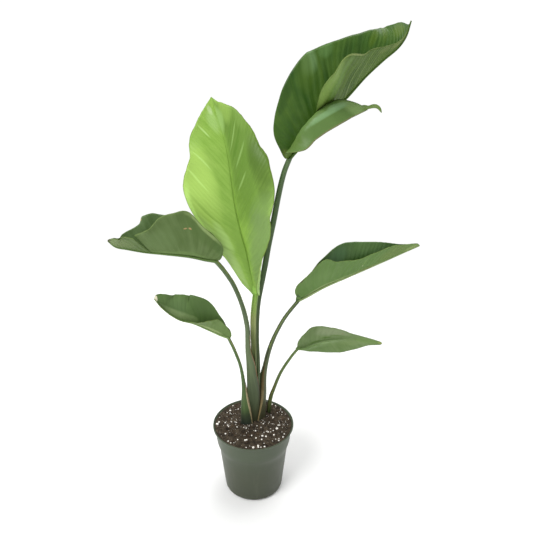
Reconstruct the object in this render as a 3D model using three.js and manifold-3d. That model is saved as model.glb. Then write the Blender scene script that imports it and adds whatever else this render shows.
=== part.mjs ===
// Potted bird of paradise: a young plant with six leaves in a plain nursery pot.
// Millimetres, +Z up. The origin is the middle of the pot's flat underside, and -Y is the front.
import * as THREE from "three";
import { mergeVertices } from "three/addons/utils/BufferGeometryUtils.js";
import Module from "manifold-3d";

const wasm = await Module();
wasm.setup();

// ---------------------------------------------------------------- driving dimensions

const GAP = 0.35; // clearance between pieces that touch on the real plant

const POT = {
  height: 150,
  rimRadius: 82.5, // outside of the rolled lip
  lipHeight: 3.5,
  collarTopRadius: 78.5,
  collarBottomRadius: 75.3,
  collarHeight: 40,
  ledge: 4.8, // step from the collar in to the body
  bodyTopRadius: 70.5,
  bodyBottomRadius: 60,
  bottomRounding: 5,
  wall: 2,
  floor: 2.5,
  mouthRadius: 80.5, // inside of the lip
  flare: [[76.5, 143.5], [77.2, 145.7], [80, 148.2]], // inner side below the lip: [radius, height]
  drainHoles: 8,
  drainRadius: 5,
  drainCircle: 44,
  sides: 40,
};

const SOIL = {
  edgeHeight: 147.4,
  edgeRadius: 78.7, // inside the flare at that height
  crownHeight: 149.6,
  rings: 6,
  lumpHeight: 0.9, // crumbs of the surface
  grains: 30, // perlite
  grainSmall: 1.3,
  grainLarge: 3.2,
  grainSunk: 0.35, // share of a grain's radius below the surface
  grainFree: 32, // no grains this close to the clump's axis
  grainReach: 76, // nor past this radius
  holeSides: 32,
  holeDeeper: 4, // below the foot of the stalks
};

const BLADE_THICKNESS = 0.8;
const FAN_ANGLE = 30; // the leaves stand in two rows, in an upright plane turned this far from X

// Axis of the clump of stalks: [height, x, y].
const CLUMP_AXIS = [
  [112, 1, 13],
  [146, 1, 13],
  [222, 3, 10],
  [294, 3, 6],
  [341, 2, 1],
  [380, 2, -3],
];

// Nested ovals of the clump, from the youngest stalk outwards:
// [height, offset along the fan, half length along the fan, half width across it].
const OVALS = {
  core: [
    [112, 0, 5.6, 5.6],
    [400, 0, 5.9, 5.9],
  ],
  first: [
    [112, 2, 8.8, 7.2],
    [207, 2, 9, 7.4],
    [277, 3, 9.8, 7.8],
    [330, 4, 11, 8],
  ],
  second: [
    [112, -1.6, 14.7, 9],
    [200, -1.8, 15.1, 9],
    [232, -2.2, 14.5, 9],
    [290, -4.5, 12.6, 8.8],
    [340, -7, 11.6, 8.2],
    [380, -9, 11, 8],
  ],
  third: [
    [112, 5.2, 20.8, 10.8],
    [203, 6.2, 21, 10.6],
    [235, 7, 21, 10.6],
    [290, 9, 22, 11],
  ],
  fourth: [
    [112, -4.6, 24.6, 12.6],
    [200, -6.2, 24, 12],
    [232, -7, 23, 11.6],
    [265, -9, 22, 11],
  ],
};

// Leaf stalks, from the youngest to the oldest. path: [x, y, z] from inside the soil to the blade.
// radius: [share of the length, radius]. facing: the grooved upper side's direction at shares of the
// length. A sheath wraps the younger stalks: it fills the space between two ovals, reaches from its
// back (spine) as far as the angles front and back at each height, and closes into a round stalk
// between the two heights of closes.
const STALKS = [
  {
    name: "new",
    path: [
      [1, 13, 112], [4, 12, 146], [4, 9, 222], [3, 5, 294], [2, 0, 341], [2, -4, 386],
      [4, -6, 416], [7, -8, 443],
    ],
    radius: [[0, 5], [0.4, 5.2], [0.8, 5.5], [1, 5.2]],
    facing: [[0, 0, -1, 0], [1, -0.25, -0.95, 0.1]],
  },
  {
    name: "top_right",
    path: [
      [6, 13, 112], [7, 13, 207], [8, 15, 277], [7, 17, 332], [8, 18, 381], [11, 20, 415],
      [17, 22, 447],
      [23, 24, 478], [31, 27, 525], [40, 30, 570], [48, 33, 613], [58, 36, 656], [68, 38, 682],
    ],
    radius: [[0, 5.5], [0.5, 5.5], [0.85, 5.3], [1, 4.6]],
    facing: [[0, -0.6, -0.8, 0], [0.7, -0.8, -0.5, 0.2], [1, -0.7, -0.45, 0.55]],
    sheath: {
      inside: "core",
      outside: "first",
      spine: -20,
      front: [[112, 120], [260, 100], [330, 80]],
      back: [[112, 120], [260, 100], [330, 80]],
      closes: [250, 335],
    },
  },
  {
    name: "left_upper",
    path: [
      [-12, 6, 112], [-12, 5, 199], [-12, 3, 248], [-9, 0, 308], [-8, -5, 355], [-12, -12, 396],
      [-20, -18, 432], [-32, -23, 466], [-40, -26, 482], [-51, -29, 500], [-61, -32, 514],
    ],
    radius: [[0, 4.9], [0.5, 4.9], [0.8, 4.4], [1, 3.8]],
    facing: [[0, 0.87, 0.5, 0], [0.6, 0.87, 0.3, 0.3], [1, 0.1, -0.25, 1]],
    sheath: {
      inside: "first",
      outside: "second",
      spine: 180,
      front: [[112, 150], [205, 148], [250, 122], [290, 100], [318, 76], [380, 40]],
      back: [[112, 130], [250, 110], [318, 80], [380, 50]],
      closes: [292, 384],
    },
  },
  {
    name: "right_upper",
    path: [
      [16, 19, 112], [18, 18, 192], [20, 19, 236], [25, 21, 273], [33, 24, 308], [46, 27, 342],
      [64, 30, 376], [89, 34, 409],
    ],
    radius: [[0, 5.5], [0.4, 5.4], [0.6, 4.6], [0.75, 3.9], [1, 3.5]],
    facing: [[0, -0.87, -0.5, 0], [0.6, -0.8, -0.45, 0.35], [1, -0.25, -0.3, 1]],
    sheath: {
      inside: "second",
      outside: "third",
      spine: 0,
      front: [[112, 104], [150, 98], [203, 66], [235, 58], [290, 40]],
      back: [[112, 108], [200, 96], [290, 60]],
      closes: [196, 286],
    },
  },
  {
    name: "left_lower",
    path: [
      [-16, 4, 112], [-17, 3, 202], [-19, -1, 250], [-24, -5, 289], [-35, -10, 327],
      [-45, -14, 354],
    ],
    radius: [[0, 4.4], [0.45, 3.9], [0.7, 3.3], [1, 2.9]],
    facing: [[0, 0.87, 0.5, 0], [0.6, 0.8, 0.3, 0.4], [1, 0.1, -0.35, 1]],
    sheath: {
      inside: "third",
      outside: "fourth",
      spine: 180,
      front: [[112, 86], [150, 82], [200, 58], [228, 42], [265, 30]],
      back: [[112, 92], [200, 70], [265, 40]],
      closes: [182, 262],
    },
  },
  {
    name: "right_lower",
    path: [
      [31, 37, 112], [32, 37, 153], [36, 38, 185], [42, 39, 204], [56, 41, 242], [77, 43, 278],
      [90, 44, 296],
    ],
    radius: [[0, 4.6], [0.3, 4.4], [0.5, 3.5], [0.75, 3], [1, 2.7]],
    facing: [[0, -0.87, -0.5, 0], [0.6, -0.7, -0.4, 0.6], [1, -0.15, -0.45, 1]],
  },
];

// Leaf blades. midrib: [x, y, z] from the stalk to the tip. facing: direction of the upper side at
// shares of the midrib. rib: radius of the midrib at its base and tip. A half is the lamina on one
// side of the midrib (side 1 is tangent x facing). veins: [share of the midrib, length, angle to it].
// fold: [share, rise beside the midrib, rise at the margin, distance where the turn starts, and ends],
// in degrees and mm. wave: [height, length, phase] of the margin. bow: how far the veins curve, at the
// start and end of the half. span: the part of the midrib that a torn half keeps. cells: faces along
// and across. curl: a hooked strip at the tip of a torn half, with its width at shares of its length.
const BLADES = [
  {
    name: "top_right",
    midrib: [
      [68, 38, 682], [84, 42, 702], [110, 47, 729], [137, 52, 757], [166, 57, 784], [196, 63, 816],
      [227, 70, 843], [251, 76, 862], [264, 80, 880], [271, 84, 904],
    ],
    facing: [
      [0, -0.7, -0.45, 0.55], [0.3, -0.62, -0.5, 0.6], [0.7, -0.55, -0.5, 0.66],
      [1, -0.8, -0.3, 0.5],
    ],
    rib: [4.4, 1.2],
    halves: [
      {
        side: -1,
        cells: [15, 4],
        veins: [
          [0, 8, 140], [0.03, 24, 112], [0.06, 46, 96], [0.1, 69, 84], [0.16, 94, 71], [0.24, 116, 60],
          [0.32, 114, 54], [0.4, 102, 49], [0.5, 91.5, 44], [0.55, 86, 42], [0.6, 81, 40],
          [0.65, 81, 38], [0.7, 80, 36], [0.75, 74, 33.5], [0.8, 61, 31], [0.88, 37, 27],
          [0.94, 14, 23], [0.97, 4, 20], [1, 1, 18],
        ],
        fold: [[0, 62, 50, 0, 80], [0.4, 62, 56, 0, 90], [1, 40, 30, 0, 60]],
        wave: [0.6, 60, 0],
      },
      {
        side: 1,
        span: [0.27, 1],
        cells: [16, 4],
        veins: [
          [0.27, 104, 70], [0.29, 123, 62], [0.31, 130, 57], [0.34, 119, 52], [0.42, 92, 47],
          [0.5, 78, 44], [0.6, 58, 40], [0.7, 38, 36], [0.8, 22, 31], [0.88, 13, 27], [0.94, 8, 23],
          [1, 1, 18],
        ],
        bow: [0.6, 0.2],
        fold: [[0, 62, 62, 0, 60], [1, 60, 60, 0, 60]],
        wave: [1.6, 50, 1],
      },
      {
        side: 1,
        span: [0, 0.262],
        cells: [7, 7],
        turnsAlongVein: true,
        veins: [
          [0, 8, 130], [0.02, 24, 112], [0.06, 58, 94], [0.12, 77, 80], [0.18, 97.5, 66],
          [0.22, 100, 58], [0.245, 100, 54], [0.262, 104, 51],
        ],
        bow: [0, -0.6],
        fold: [
          [0, 62, 60, 10, 40], [0.05, 62, 0, 12, 42], [0.12, 62, -50, 32, 58], [0.18, 62, -56, 34, 60],
          [0.262, 62, -60, 18, 44],
        ],
        wave: [0, 50, 1],
      },
    ],
    curl: {
      path: [
        [185.0, 26.4, 766.0], [191.6, 26.0, 767.1], [198.3, 25.8, 767.3], [203.8, 26.0, 768.7],
        [208.9, 26.4, 769.1], [214.0, 27.0, 767.5], [218.0, 27.6, 763.8], [221.0, 28.4, 758.8],
      ],
      facing: [[0, 0, -0.75, 0.66], [1, 0, -0.75, 0.66]],
      width: [
        [0, 9], [0.16, 9.6], [0.33, 6.4], [0.47, 7.2], [0.6, 8], [0.72, 7], [0.86, 4.8], [1, 1.2],
      ],
    },
  },
  {
    name: "new",
    midrib: [
      [7, -8, 443], [-2, -12, 487], [-9, -16, 529], [-17, -19, 562], [-26, -22, 608],
      [-32, -22, 658],
      [-38, -18, 703], [-47, -12, 737], [-57, -6, 768], [-62, -2, 784],
    ],
    facing: [[0, -0.25, -0.95, 0.1], [0.5, -0.25, -0.95, 0.15], [1, -0.1, -0.9, 0.3]],
    rib: [5, 1.2],
    halves: [
      {
        side: -1,
        cells: [15, 4],
        veins: [
          [0, 6, 150], [0.02, 9, 95], [0.06, 23, 66], [0.12, 44, 52], [0.18, 72, 46],
          [0.24, 102, 43],
          [0.3, 130, 40], [0.36, 129, 38], [0.42, 119, 37], [0.5, 108, 35], [0.58, 106, 33],
          [0.66, 91, 31],
          [0.74, 71, 29], [0.84, 45, 26], [0.92, 23, 23], [1, 1, 20],
        ],
        fold: [[0, 20, 10, 0, 60], [0.4, 22, 5, 0, 80], [1, 10, 0, 0, 60]],
        wave: [3, 80, 0],
      },
      {
        side: 1,
        cells: [15, 6],
        veins: [
          [0, 10, 105], [0.02, 25, 80], [0.06, 36, 62], [0.12, 61, 52], [0.2, 110, 45],
          [0.28, 130, 41], [0.36, 130, 38], [0.42, 125, 37], [0.5, 108, 35], [0.56, 101, 33],
          [0.62, 92, 32], [0.68, 83, 30], [0.76, 66, 28], [0.84, 44, 26], [0.92, 21, 23], [1, 1, 20],
        ],
        fold: [
          [0, 35, 120, 8, 20], [0.04, 30, 120, 9, 24], [0.1, 26, 150, 14, 34], [0.18, 30, 150, 26, 48],
          [0.3, 32, 150, 50, 76], [0.4, 28, 110, 72, 96], [0.48, 28, 15, 60, 90], [1, 20, 0, 0, 60],
        ],
        wave: [3, 80, 2],
      },
    ],
  },
  {
    name: "left_upper",
    midrib: [
      [-61, -32, 514], [-76, -36, 519], [-105, -44, 528], [-148, -54, 536], [-177, -60, 541],
      [-204, -66, 548],
      [-221, -70, 553], [-232, -72, 564],
    ],
    facing: [[0, 0.1, -0.25, 1], [1, 0, -0.25, 1]],
    rib: [3.6, 1],
    halves: [
      {
        side: -1,
        span: [0, 0.6],
        cells: [9, 4],
        veins: [
          [0, 8, 135], [0.015, 16, 120], [0.05, 36, 108], [0.12, 54, 92], [0.18, 73, 82],
          [0.22, 101, 76],
          [0.28, 100, 70], [0.34, 91, 64], [0.42, 73, 58], [0.5, 62, 53], [0.6, 48, 46],
        ],
        fold: [[0, 80, 80, 0, 80], [1, 72, 72, 0, 80]],
        wave: [1.5, 46, 0],
      },
      {
        side: -1,
        span: [0.61, 1],
        cells: [6, 3],
        veins: [
          [0.61, 46, 46], [0.66, 54, 43], [0.71, 52, 41], [0.78, 44, 38], [0.84, 34, 34],
          [0.9, 22, 31], [0.96, 10, 28], [1, 1, 20],
        ],
        fold: [[0, 72, 70, 0, 40], [1, 64, 60, 0, 30]],
        wave: [1, 30, 2],
      },
      {
        side: 1,
        cells: [12, 4],
        veins: [
          [0, 10, 130], [0.05, 34, 106], [0.12, 52, 90], [0.22, 66, 74], [0.32, 72, 64],
          [0.4, 78, 58],
          [0.46, 76, 54], [0.5, 72, 52], [0.54, 60, 50], [0.64, 46, 45], [0.76, 33, 38],
          [0.88, 21, 32],
          [0.96, 8, 28], [1, 1, 20],
        ],
        fold: [[0, 96, 98, 0, 80], [0.3, 88, 86, 0, 80], [0.5, 62, 60, 0, 80], [1, 60, 60, 0, 80]],
        wave: [1.5, 40, 1],
      },
    ],
  },
  {
    name: "left_lower",
    midrib: [
      [-45, -14, 354], [-55, -17, 360], [-80, -23, 376], [-106, -29, 392], [-133, -34, 403],
      [-159, -38, 426], [-172, -40, 446],
    ],
    facing: [[0, 0.1, -0.35, 1], [1, 0.1, -0.35, 1]],
    rib: [2.8, 0.9],
    halves: [
      {
        side: -1,
        cells: [10, 4],
        veins: [
          [0, 5, 140], [0.02, 10, 120], [0.06, 18, 104], [0.12, 27, 86], [0.2, 37, 74],
          [0.28, 36, 64],
          [0.36, 34, 58], [0.44, 31, 54], [0.6, 28, 46], [0.8, 18, 38], [0.95, 6, 30], [1, 1, 20],
        ],
        fold: [
          [0, 92, 96, 0, 30], [0.25, 84, 84, 0, 30], [0.36, 72, 70, 0, 30], [0.48, 50, 42, 0, 30],
          [1, 46, 38, 0, 30],
        ],
        wave: [1.5, 34, 0],
      },
      {
        side: 1,
        cells: [11, 4],
        veins: [
          [0, 5, 140], [0.06, 14, 104], [0.12, 24, 88], [0.2, 39, 74], [0.28, 54, 65],
          [0.36, 58, 59],
          [0.44, 59, 54], [0.52, 57, 50], [0.6, 51, 46], [0.7, 43, 42], [0.8, 34, 38],
          [0.9, 21, 33],
          [0.96, 12, 30], [1, 1, 20],
        ],
        fold: [[0, 82, 86, 0, 30], [0.5, 60, 55, 0, 30], [1, 40, 30, 0, 30]],
        wave: [1.5, 38, 1],
      },
    ],
  },
  {
    name: "right_upper",
    midrib: [
      [89, 34, 409], [108, 38, 419], [141, 45, 435], [179, 53, 449], [217, 61, 463],
      [260, 70, 479], [299, 78, 494], [328, 84, 505],
    ],
    facing: [[0, -0.25, -0.3, 1], [1, -0.3, -0.3, 1]],
    rib: [3.4, 1],
    halves: [
      {
        side: 1,
        cells: [12, 4],
        veins: [
          [0, 6, 140], [0.02, 11, 120], [0.05, 34, 106], [0.1, 48, 92], [0.16, 62, 81],
          [0.2, 73, 75],
          [0.25, 61, 69], [0.3, 54, 64], [0.38, 46, 58], [0.46, 44, 54], [0.54, 45, 49],
          [0.6, 50, 46],
          [0.68, 45, 42], [0.76, 38, 38], [0.85, 28, 34], [0.95, 12, 28], [1, 1, 20],
        ],
        fold: [[0, 80, 80, 0, 60], [1, 75, 75, 0, 80]],
        wave: [1.5, 50, 0],
      },
      {
        side: -1,
        cells: [11, 4],
        veins: [
          [0, 6, 140], [0.05, 22, 106], [0.1, 34, 92], [0.17, 50, 80], [0.24, 61, 70],
          [0.32, 72, 62],
          [0.4, 70, 57], [0.5, 61, 51], [0.6, 52, 46], [0.68, 42, 42], [0.76, 32, 38],
          [0.85, 22, 34],
          [0.95, 12, 28], [1, 1, 20],
        ],
        fold: [[0, 100, 104, 0, 60], [0.2, 86, 84, 0, 60], [0.4, 64, 54, 0, 60], [1, 60, 50, 0, 80]],
        wave: [1.5, 44, 2],
      },
    ],
  },
  {
    name: "right_lower",
    midrib: [
      [90, 44, 296], [106, 46, 300], [126, 47, 308], [150, 47, 315], [178, 46, 319],
      [206, 44, 318], [234, 42, 314], [260, 40, 312],
    ],
    facing: [[0, -0.15, -0.45, 1], [1, 0.1, -0.45, 1]],
    rib: [2.6, 0.9],
    halves: [
      {
        side: 1,
        cells: [10, 5],
        veins: [
          [0, 5, 140], [0.03, 10, 110], [0.08, 15, 92], [0.16, 25, 76], [0.28, 36, 64],
          [0.42, 35, 54],
          [0.6, 27, 45], [0.8, 12, 38], [0.95, 7, 30], [1, 1, 20],
        ],
        fold: [
          [0, 45, -60, 4, 20], [0.4, 30, -50, 4, 24], [0.6, -10, -30, 0, 24], [1, -20, -30, 0, 30],
        ],
        wave: [1, 40, 0],
      },
      {
        side: -1,
        cells: [10, 4],
        veins: [
          [0, 5, 140], [0.02, 6, 118], [0.05, 16, 102], [0.09, 23, 90], [0.13, 27, 81],
          [0.18, 35, 74],
          [0.25, 34, 66], [0.34, 29, 59], [0.44, 24, 53], [0.6, 16, 45], [0.8, 12, 38],
          [0.95, 6, 30], [1, 1, 20],
        ],
        fold: [[0, 60, 40, 0, 40], [1, 40, 30, 0, 40]],
        wave: [1, 36, 1],
      },
    ],
  },
];

const COLOURS = {
  pot: 0x474c40,
  soil: 0x43352b,
  blade: 0x46682f,
  newBlade: 0x8cbf4e,
  stalk: 0x587450,
};

// ---------------------------------------------------------------- curves

const radians = THREE.MathUtils.degToRad;
const vector = (x, y, z) => new THREE.Vector3(x, y, z);
const clamp = THREE.MathUtils.clamp;
const ease = (from, to, x) => THREE.MathUtils.smoothstep(x, from, to);

// Smooth values through knots [position, value, value, ...], at a position.
function through(knots, at) {
  const last = knots.length - 1;
  let i = 0;
  while (i < last - 1 && at > knots[i + 1][0]) i++;
  const [left, right] = [knots[i], knots[i + 1]];
  const width = right[0] - left[0];
  const t = clamp((at - left[0]) / width, 0, 1);
  const values = [];
  for (let c = 1; c < left.length; c++) {
    const straight = (right[c] - left[c]) / width;
    const before = knots[i - 1];
    const after = knots[i + 2];
    const slopeLeft = before ? (right[c] - before[c]) / (right[0] - before[0]) : straight;
    const slopeRight = after ? (after[c] - left[c]) / (after[0] - left[0]) : straight;
    values.push(
      (2 * t ** 3 - 3 * t ** 2 + 1) * left[c] +
        (t ** 3 - 2 * t ** 2 + t) * width * slopeLeft +
        (3 * t ** 2 - 2 * t ** 3) * right[c] +
        (t ** 3 - t ** 2) * width * slopeRight,
    );
  }
  return values;
}

// A curve through points, with the direction that its upper side faces.
class Spine {
  constructor(points, facing) {
    const lengths = [0];
    for (let i = 1; i < points.length; i++) {
      lengths.push(lengths[i - 1] + vector(...points[i]).distanceTo(vector(...points[i - 1])));
    }
    this.length = lengths.at(-1);
    this.knots = points.map((point, i) => [lengths[i] / this.length, ...point]);
    this.facing = facing;
  }

  // Point, upper direction and sideways direction at a distance along the curve, which runs straight on
  // past both ends.
  frame(distance) {
    const u = clamp(distance / this.length, 0, 1);
    const step = 1e-3;
    const point = vector(...through(this.knots, u));
    const tangent = vector(...through(this.knots, Math.min(1, u + step)))
      .sub(vector(...through(this.knots, Math.max(0, u - step))))
      .normalize();
    const up = vector(...through(this.facing, u));
    up.addScaledVector(tangent, -up.dot(tangent)).normalize();
    const across = tangent.clone().cross(up);
    const beyond = distance - u * this.length;
    return { point: point.addScaledVector(tangent, beyond), up, across };
  }
}

// ---------------------------------------------------------------- solids

// A closed solid from vertices and triangles, turned right side out.
function solid(points, triangles) {
  const geometry = new THREE.BufferGeometry().setFromPoints(points);
  geometry.setIndex(triangles.flat());
  const merged = mergeVertices(geometry, 1e-4);
  const mesh = new wasm.Mesh({
    numProp: 3,
    vertProperties: new Float32Array(merged.attributes.position.array),
    triVerts: new Uint32Array(merged.index.array),
  });
  const made = new wasm.Manifold(mesh);
  if (made.volume() > 0) return made;
  return solid(points, triangles.map(([a, b, c]) => [a, c, b]));
}

// The solid of a three.js geometry, which has one seam of doubled vertices to merge.
function solidOf(geometry) {
  const bare = geometry.clone();
  bare.deleteAttribute("normal");
  bare.deleteAttribute("uv");
  const merged = mergeVertices(bare, 1e-4);
  const position = merged.attributes.position;
  const point = (_, i) => vector().fromBufferAttribute(position, i);
  const points = Array.from({ length: position.count }, point);
  const index = Array.from(merged.index.array);
  const triangles = [];
  for (let i = 0; i < index.length; i += 3) {
    const corners = index.slice(i, i + 3);
    if (new Set(corners).size === 3) triangles.push(corners);
  }
  return solid(points, triangles);
}

// The largest body of a solid, without the scraps that a cut leaves.
function largest(shape) {
  return shape.decompose().sort((a, b) => b.volume() - a.volume())[0];
}

// A named mesh from a solid.
function meshFrom(shape, name, colour, roughness) {
  const { numProp, vertProperties, triVerts } = shape.getMesh();
  const geometry = new THREE.BufferGeometry();
  const count = vertProperties.length / numProp;
  const positions = new Float32Array(count * 3);
  for (let i = 0; i < count; i++) {
    positions.set(vertProperties.subarray(i * numProp, i * numProp + 3), i * 3);
  }
  geometry.setAttribute("position", new THREE.BufferAttribute(positions, 3));
  geometry.setIndex(new THREE.BufferAttribute(new Uint32Array(triVerts), 1));
  geometry.computeVertexNormals();
  const material = new THREE.MeshStandardMaterial({ color: colour, roughness, metalness: 0 });
  const mesh = new THREE.Mesh(geometry, material);
  mesh.name = name;
  return mesh;
}

// Triangles that fill a ring of points that bulges everywhere.
function fan(size) {
  return Array.from({ length: size - 2 }, (_, k) => [0, k + 1, k + 2]);
}

// Triangles that fill a ring made of an outer arc and an inner arc that runs back.
function strip(outerSize, innerSize) {
  const inner = (j) => outerSize + innerSize - 1 - j;
  const triangles = [];
  let [i, j] = [0, 0];
  while (i < outerSize - 1 || j < innerSize - 1) {
    const outerNext = (i + 1) / (outerSize - 1);
    const innerNext = (j + 1) / (innerSize - 1);
    if (outerNext <= innerNext) {
      triangles.push([i, i + 1, inner(j)]);
      i++;
    } else {
      triangles.push([i, inner(j + 1), inner(j)]);
      j++;
    }
  }
  return triangles;
}

// A closed body through rings with the same number of points, with the given triangles at its ends.
function loft(rings, cap) {
  const size = rings[0].length;
  const triangles = [];
  for (let i = 0; i + 1 < rings.length; i++) {
    for (let k = 0; k < size; k++) {
      const a = i * size + k;
      const b = i * size + ((k + 1) % size);
      triangles.push([a, b, b + size], [a, b + size, a + size]);
    }
  }
  const end = (rings.length - 1) * size;
  for (const [a, b, c] of cap) triangles.push([a, c, b], [end + a, end + b, end + c]);
  return solid(rings.flat(), triangles);
}

// ---------------------------------------------------------------- pot

function makePot() {
  const { height, rimRadius, lipHeight, collarTopRadius, collarBottomRadius, collarHeight } = POT;
  const { ledge, bodyTopRadius, bodyBottomRadius, bottomRounding, wall, floor } = POT;
  const { mouthRadius, flare } = POT;
  const lipFoot = height - lipHeight;
  const collarFoot = height - collarHeight;
  const bodyTop = collarFoot - ledge / 2;
  const diagonal = bottomRounding * (1 - Math.SQRT1_2);
  const profile = [
    [0, 0],
    [bodyBottomRadius - bottomRounding, 0],
    [bodyBottomRadius - diagonal, diagonal],
    [bodyBottomRadius, bottomRounding],
    [bodyTopRadius, bodyTop],
    [collarBottomRadius, collarFoot],
    [collarTopRadius, lipFoot - 1],
    [rimRadius, lipFoot],
    [rimRadius, height - 1],
    [rimRadius - 1, height],
    [mouthRadius, height],
    ...[...flare].reverse(),
    [collarBottomRadius - wall, collarFoot + 1],
    [bodyTopRadius - wall, bodyTop - 1],
    [bodyBottomRadius - wall, bottomRounding],
    [bodyBottomRadius - wall - diagonal, floor],
    [0, floor],
  ];
  const outline = profile.map(([r, z]) => new THREE.Vector2(r, z));
  const turned = new THREE.LatheGeometry(outline, POT.sides).rotateX(Math.PI / 2);
  let pot = solidOf(turned);
  for (let i = 0; i < POT.drainHoles; i++) {
    const angle = ((i + 0.5) / POT.drainHoles) * 2 * Math.PI;
    const hole = new THREE.CylinderGeometry(POT.drainRadius, POT.drainRadius, 4 * floor, 12);
    hole.rotateX(Math.PI / 2);
    hole.translate(POT.drainCircle * Math.cos(angle), POT.drainCircle * Math.sin(angle), floor);
    pot = pot.subtract(solidOf(hole));
  }
  return meshFrom(pot, "pot", COLOURS.pot, 0.45);
}

// ---------------------------------------------------------------- clump of stalks

const fanAlong = vector(Math.cos(radians(FAN_ANGLE)), Math.sin(radians(FAN_ANGLE)), 0);
const fanFront = vector(Math.sin(radians(FAN_ANGLE)), -Math.cos(radians(FAN_ANGLE)), 0);

// A point at this height, along the fan and in front of it, from the clump's axis.
function clumpPoint(height, along, front) {
  const [x, y] = through(CLUMP_AXIS, height);
  return vector(x, y, height).addScaledVector(fanAlong, along).addScaledVector(fanFront, front);
}

// A point of an oval round the clump's axis. The angle runs from the fan's right end to its front.
function ovalPoint(oval, height, angle, grow) {
  const [offset, a, b] = through(oval, height);
  const turn = radians(angle);
  return clumpPoint(height, offset + (a + grow) * Math.cos(turn), (b + grow) * Math.sin(turn));
}

// A point of the inner side of a sheath between two ovals: where the ray from the middle of the outer oval
// at this angle leaves the inner one, short of the outer oval by the sheath's least thickness.
function sheathLining({ inside, outside }, height, angle, clear) {
  const [middle, a, b] = through(OVALS[outside], height);
  const [offset, innerA, innerB] = through(OVALS[inside], height);
  const ray = [a * Math.cos(radians(angle)), b * Math.sin(radians(angle))];
  const [shift, reachA, reachB] = [offset - middle, innerA + clear, innerB + clear];
  const square = (ray[0] / reachA) ** 2 + (ray[1] / reachB) ** 2;
  const half = (ray[0] * shift) / reachA ** 2;
  const root = Math.sqrt(Math.max(0, half ** 2 - square * ((shift / reachA) ** 2 - 1)));
  const share = clamp((half + root) / square, 0.1, 1 - SHEATH_EDGE / Math.hypot(...ray));
  return clumpPoint(height, middle + share * ray[0], share * ray[1]);
}

const OUTER_POINTS = 13;
const GROOVE_POINTS = 9;
const STALK_REACH = 148; // degrees from the back of a stalk to the edge of its groove
const GROOVE_DEPTH = 0.55; // shares of the stalk's radius
const GROOVE_HALF_WIDTH = 0.42;
const SHEATH_CLEARANCE = 0.85; // mm between a sheath and the oval that it wraps
const SHEATH_EDGE = 0.7; // least thickness of a sheath

// The outer arc and the groove's arc of a stalk's section, from its back margin to its front margin and
// back again, at a distance along it. The section is grown outwards by the given clearance.
function stalkSection(stalk, spine, distance, grow) {
  const { point, up, across } = spine.frame(distance);
  const [radius] = through(stalk.radius, distance / spine.length);
  const sheath = stalk.sheath;
  const hand = sheath && sheath.spine === 180 ? -1 : 1;
  const height = point.z;
  const out = (away, side) =>
    point.clone().addScaledVector(up, -away).addScaledVector(across, hand * side);

  const outer = [];
  for (let k = 0; k < OUTER_POINTS; k++) {
    const angle = radians(((2 * k) / (OUTER_POINTS - 1) - 1) * STALK_REACH);
    outer.push(out((radius + grow) * Math.cos(angle), (radius + grow) * Math.sin(angle)));
  }
  const groove = [];
  const edge = radius * Math.cos(radians(STALK_REACH)) - grow;
  for (let k = 0; k < GROOVE_POINTS; k++) {
    const angle = radians(90 - (180 * k) / (GROOVE_POINTS - 1));
    const away = edge + GROOVE_DEPTH * radius * Math.cos(angle);
    groove.push(out(away, GROOVE_HALF_WIDTH * radius * Math.sin(angle)));
  }

  const wrapped = sheath ? 1 - ease(...sheath.closes, height) : 0;
  if (wrapped === 0) return { outer, groove };
  const growAngle = THREE.MathUtils.radToDeg(grow / radius);
  const back = through(sheath.back, height)[0] + growAngle;
  const front = through(sheath.front, height)[0] + growAngle;
  const angleAt = (share) => sheath.spine + hand * (share * (front + back) - back);
  outer.forEach((free, k) => {
    const share = k / (OUTER_POINTS - 1);
    free.lerp(ovalPoint(OVALS[sheath.outside], height, angleAt(share), grow), wrapped);
  });
  groove.forEach((free, k) => {
    const share = 1 - k / (GROOVE_POINTS - 1);
    const clear = SHEATH_CLEARANCE + grow;
    free.lerp(sheathLining(sheath, height, angleAt(share), clear), wrapped);
  });
  return { outer, groove };
}

const STALK_STEP = 34; // mm between sections

function stations(length, step) {
  const count = Math.max(4, Math.round(length / step));
  return Array.from({ length: count + 1 }, (_, i) => (i / count) * length);
}

// A stalk as it grows, with its groove and sheath.
function stalkSolid(stalk, spine) {
  const rings = stations(spine.length, STALK_STEP).map((distance) => {
    const { outer, groove } = stalkSection(stalk, spine, distance, 0);
    return [...outer, ...groove];
  });
  return loft(rings, strip(OUTER_POINTS, GROOVE_POINTS));
}

// The room that a stalk takes up, groove and all, with the clearance round it.
function stalkRoom(stalk, spine) {
  const places = stations(spine.length, STALK_STEP);
  places[0] = -SOIL.holeDeeper;
  places.push(spine.length + GAP);
  const rings = places.map((distance) => {
    const { outer, groove } = stalkSection(stalk, spine, distance, GAP);
    return [...outer, groove.at(0), groove.at(-1)];
  });
  return loft(rings, strip(OUTER_POINTS, 2));
}

function makeStalks() {
  const grown = [];
  for (const stalk of STALKS) {
    const spine = new Spine(stalk.path, stalk.facing);
    let shape = stalkSolid(stalk, spine);
    for (const younger of grown) shape = shape.subtract(younger.room);
    grown.push({ name: stalk.name, shape: largest(shape), room: stalkRoom(stalk, spine) });
  }
  return grown;
}

// ---------------------------------------------------------------- blades

const SECTION_STEPS = 14;

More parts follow.
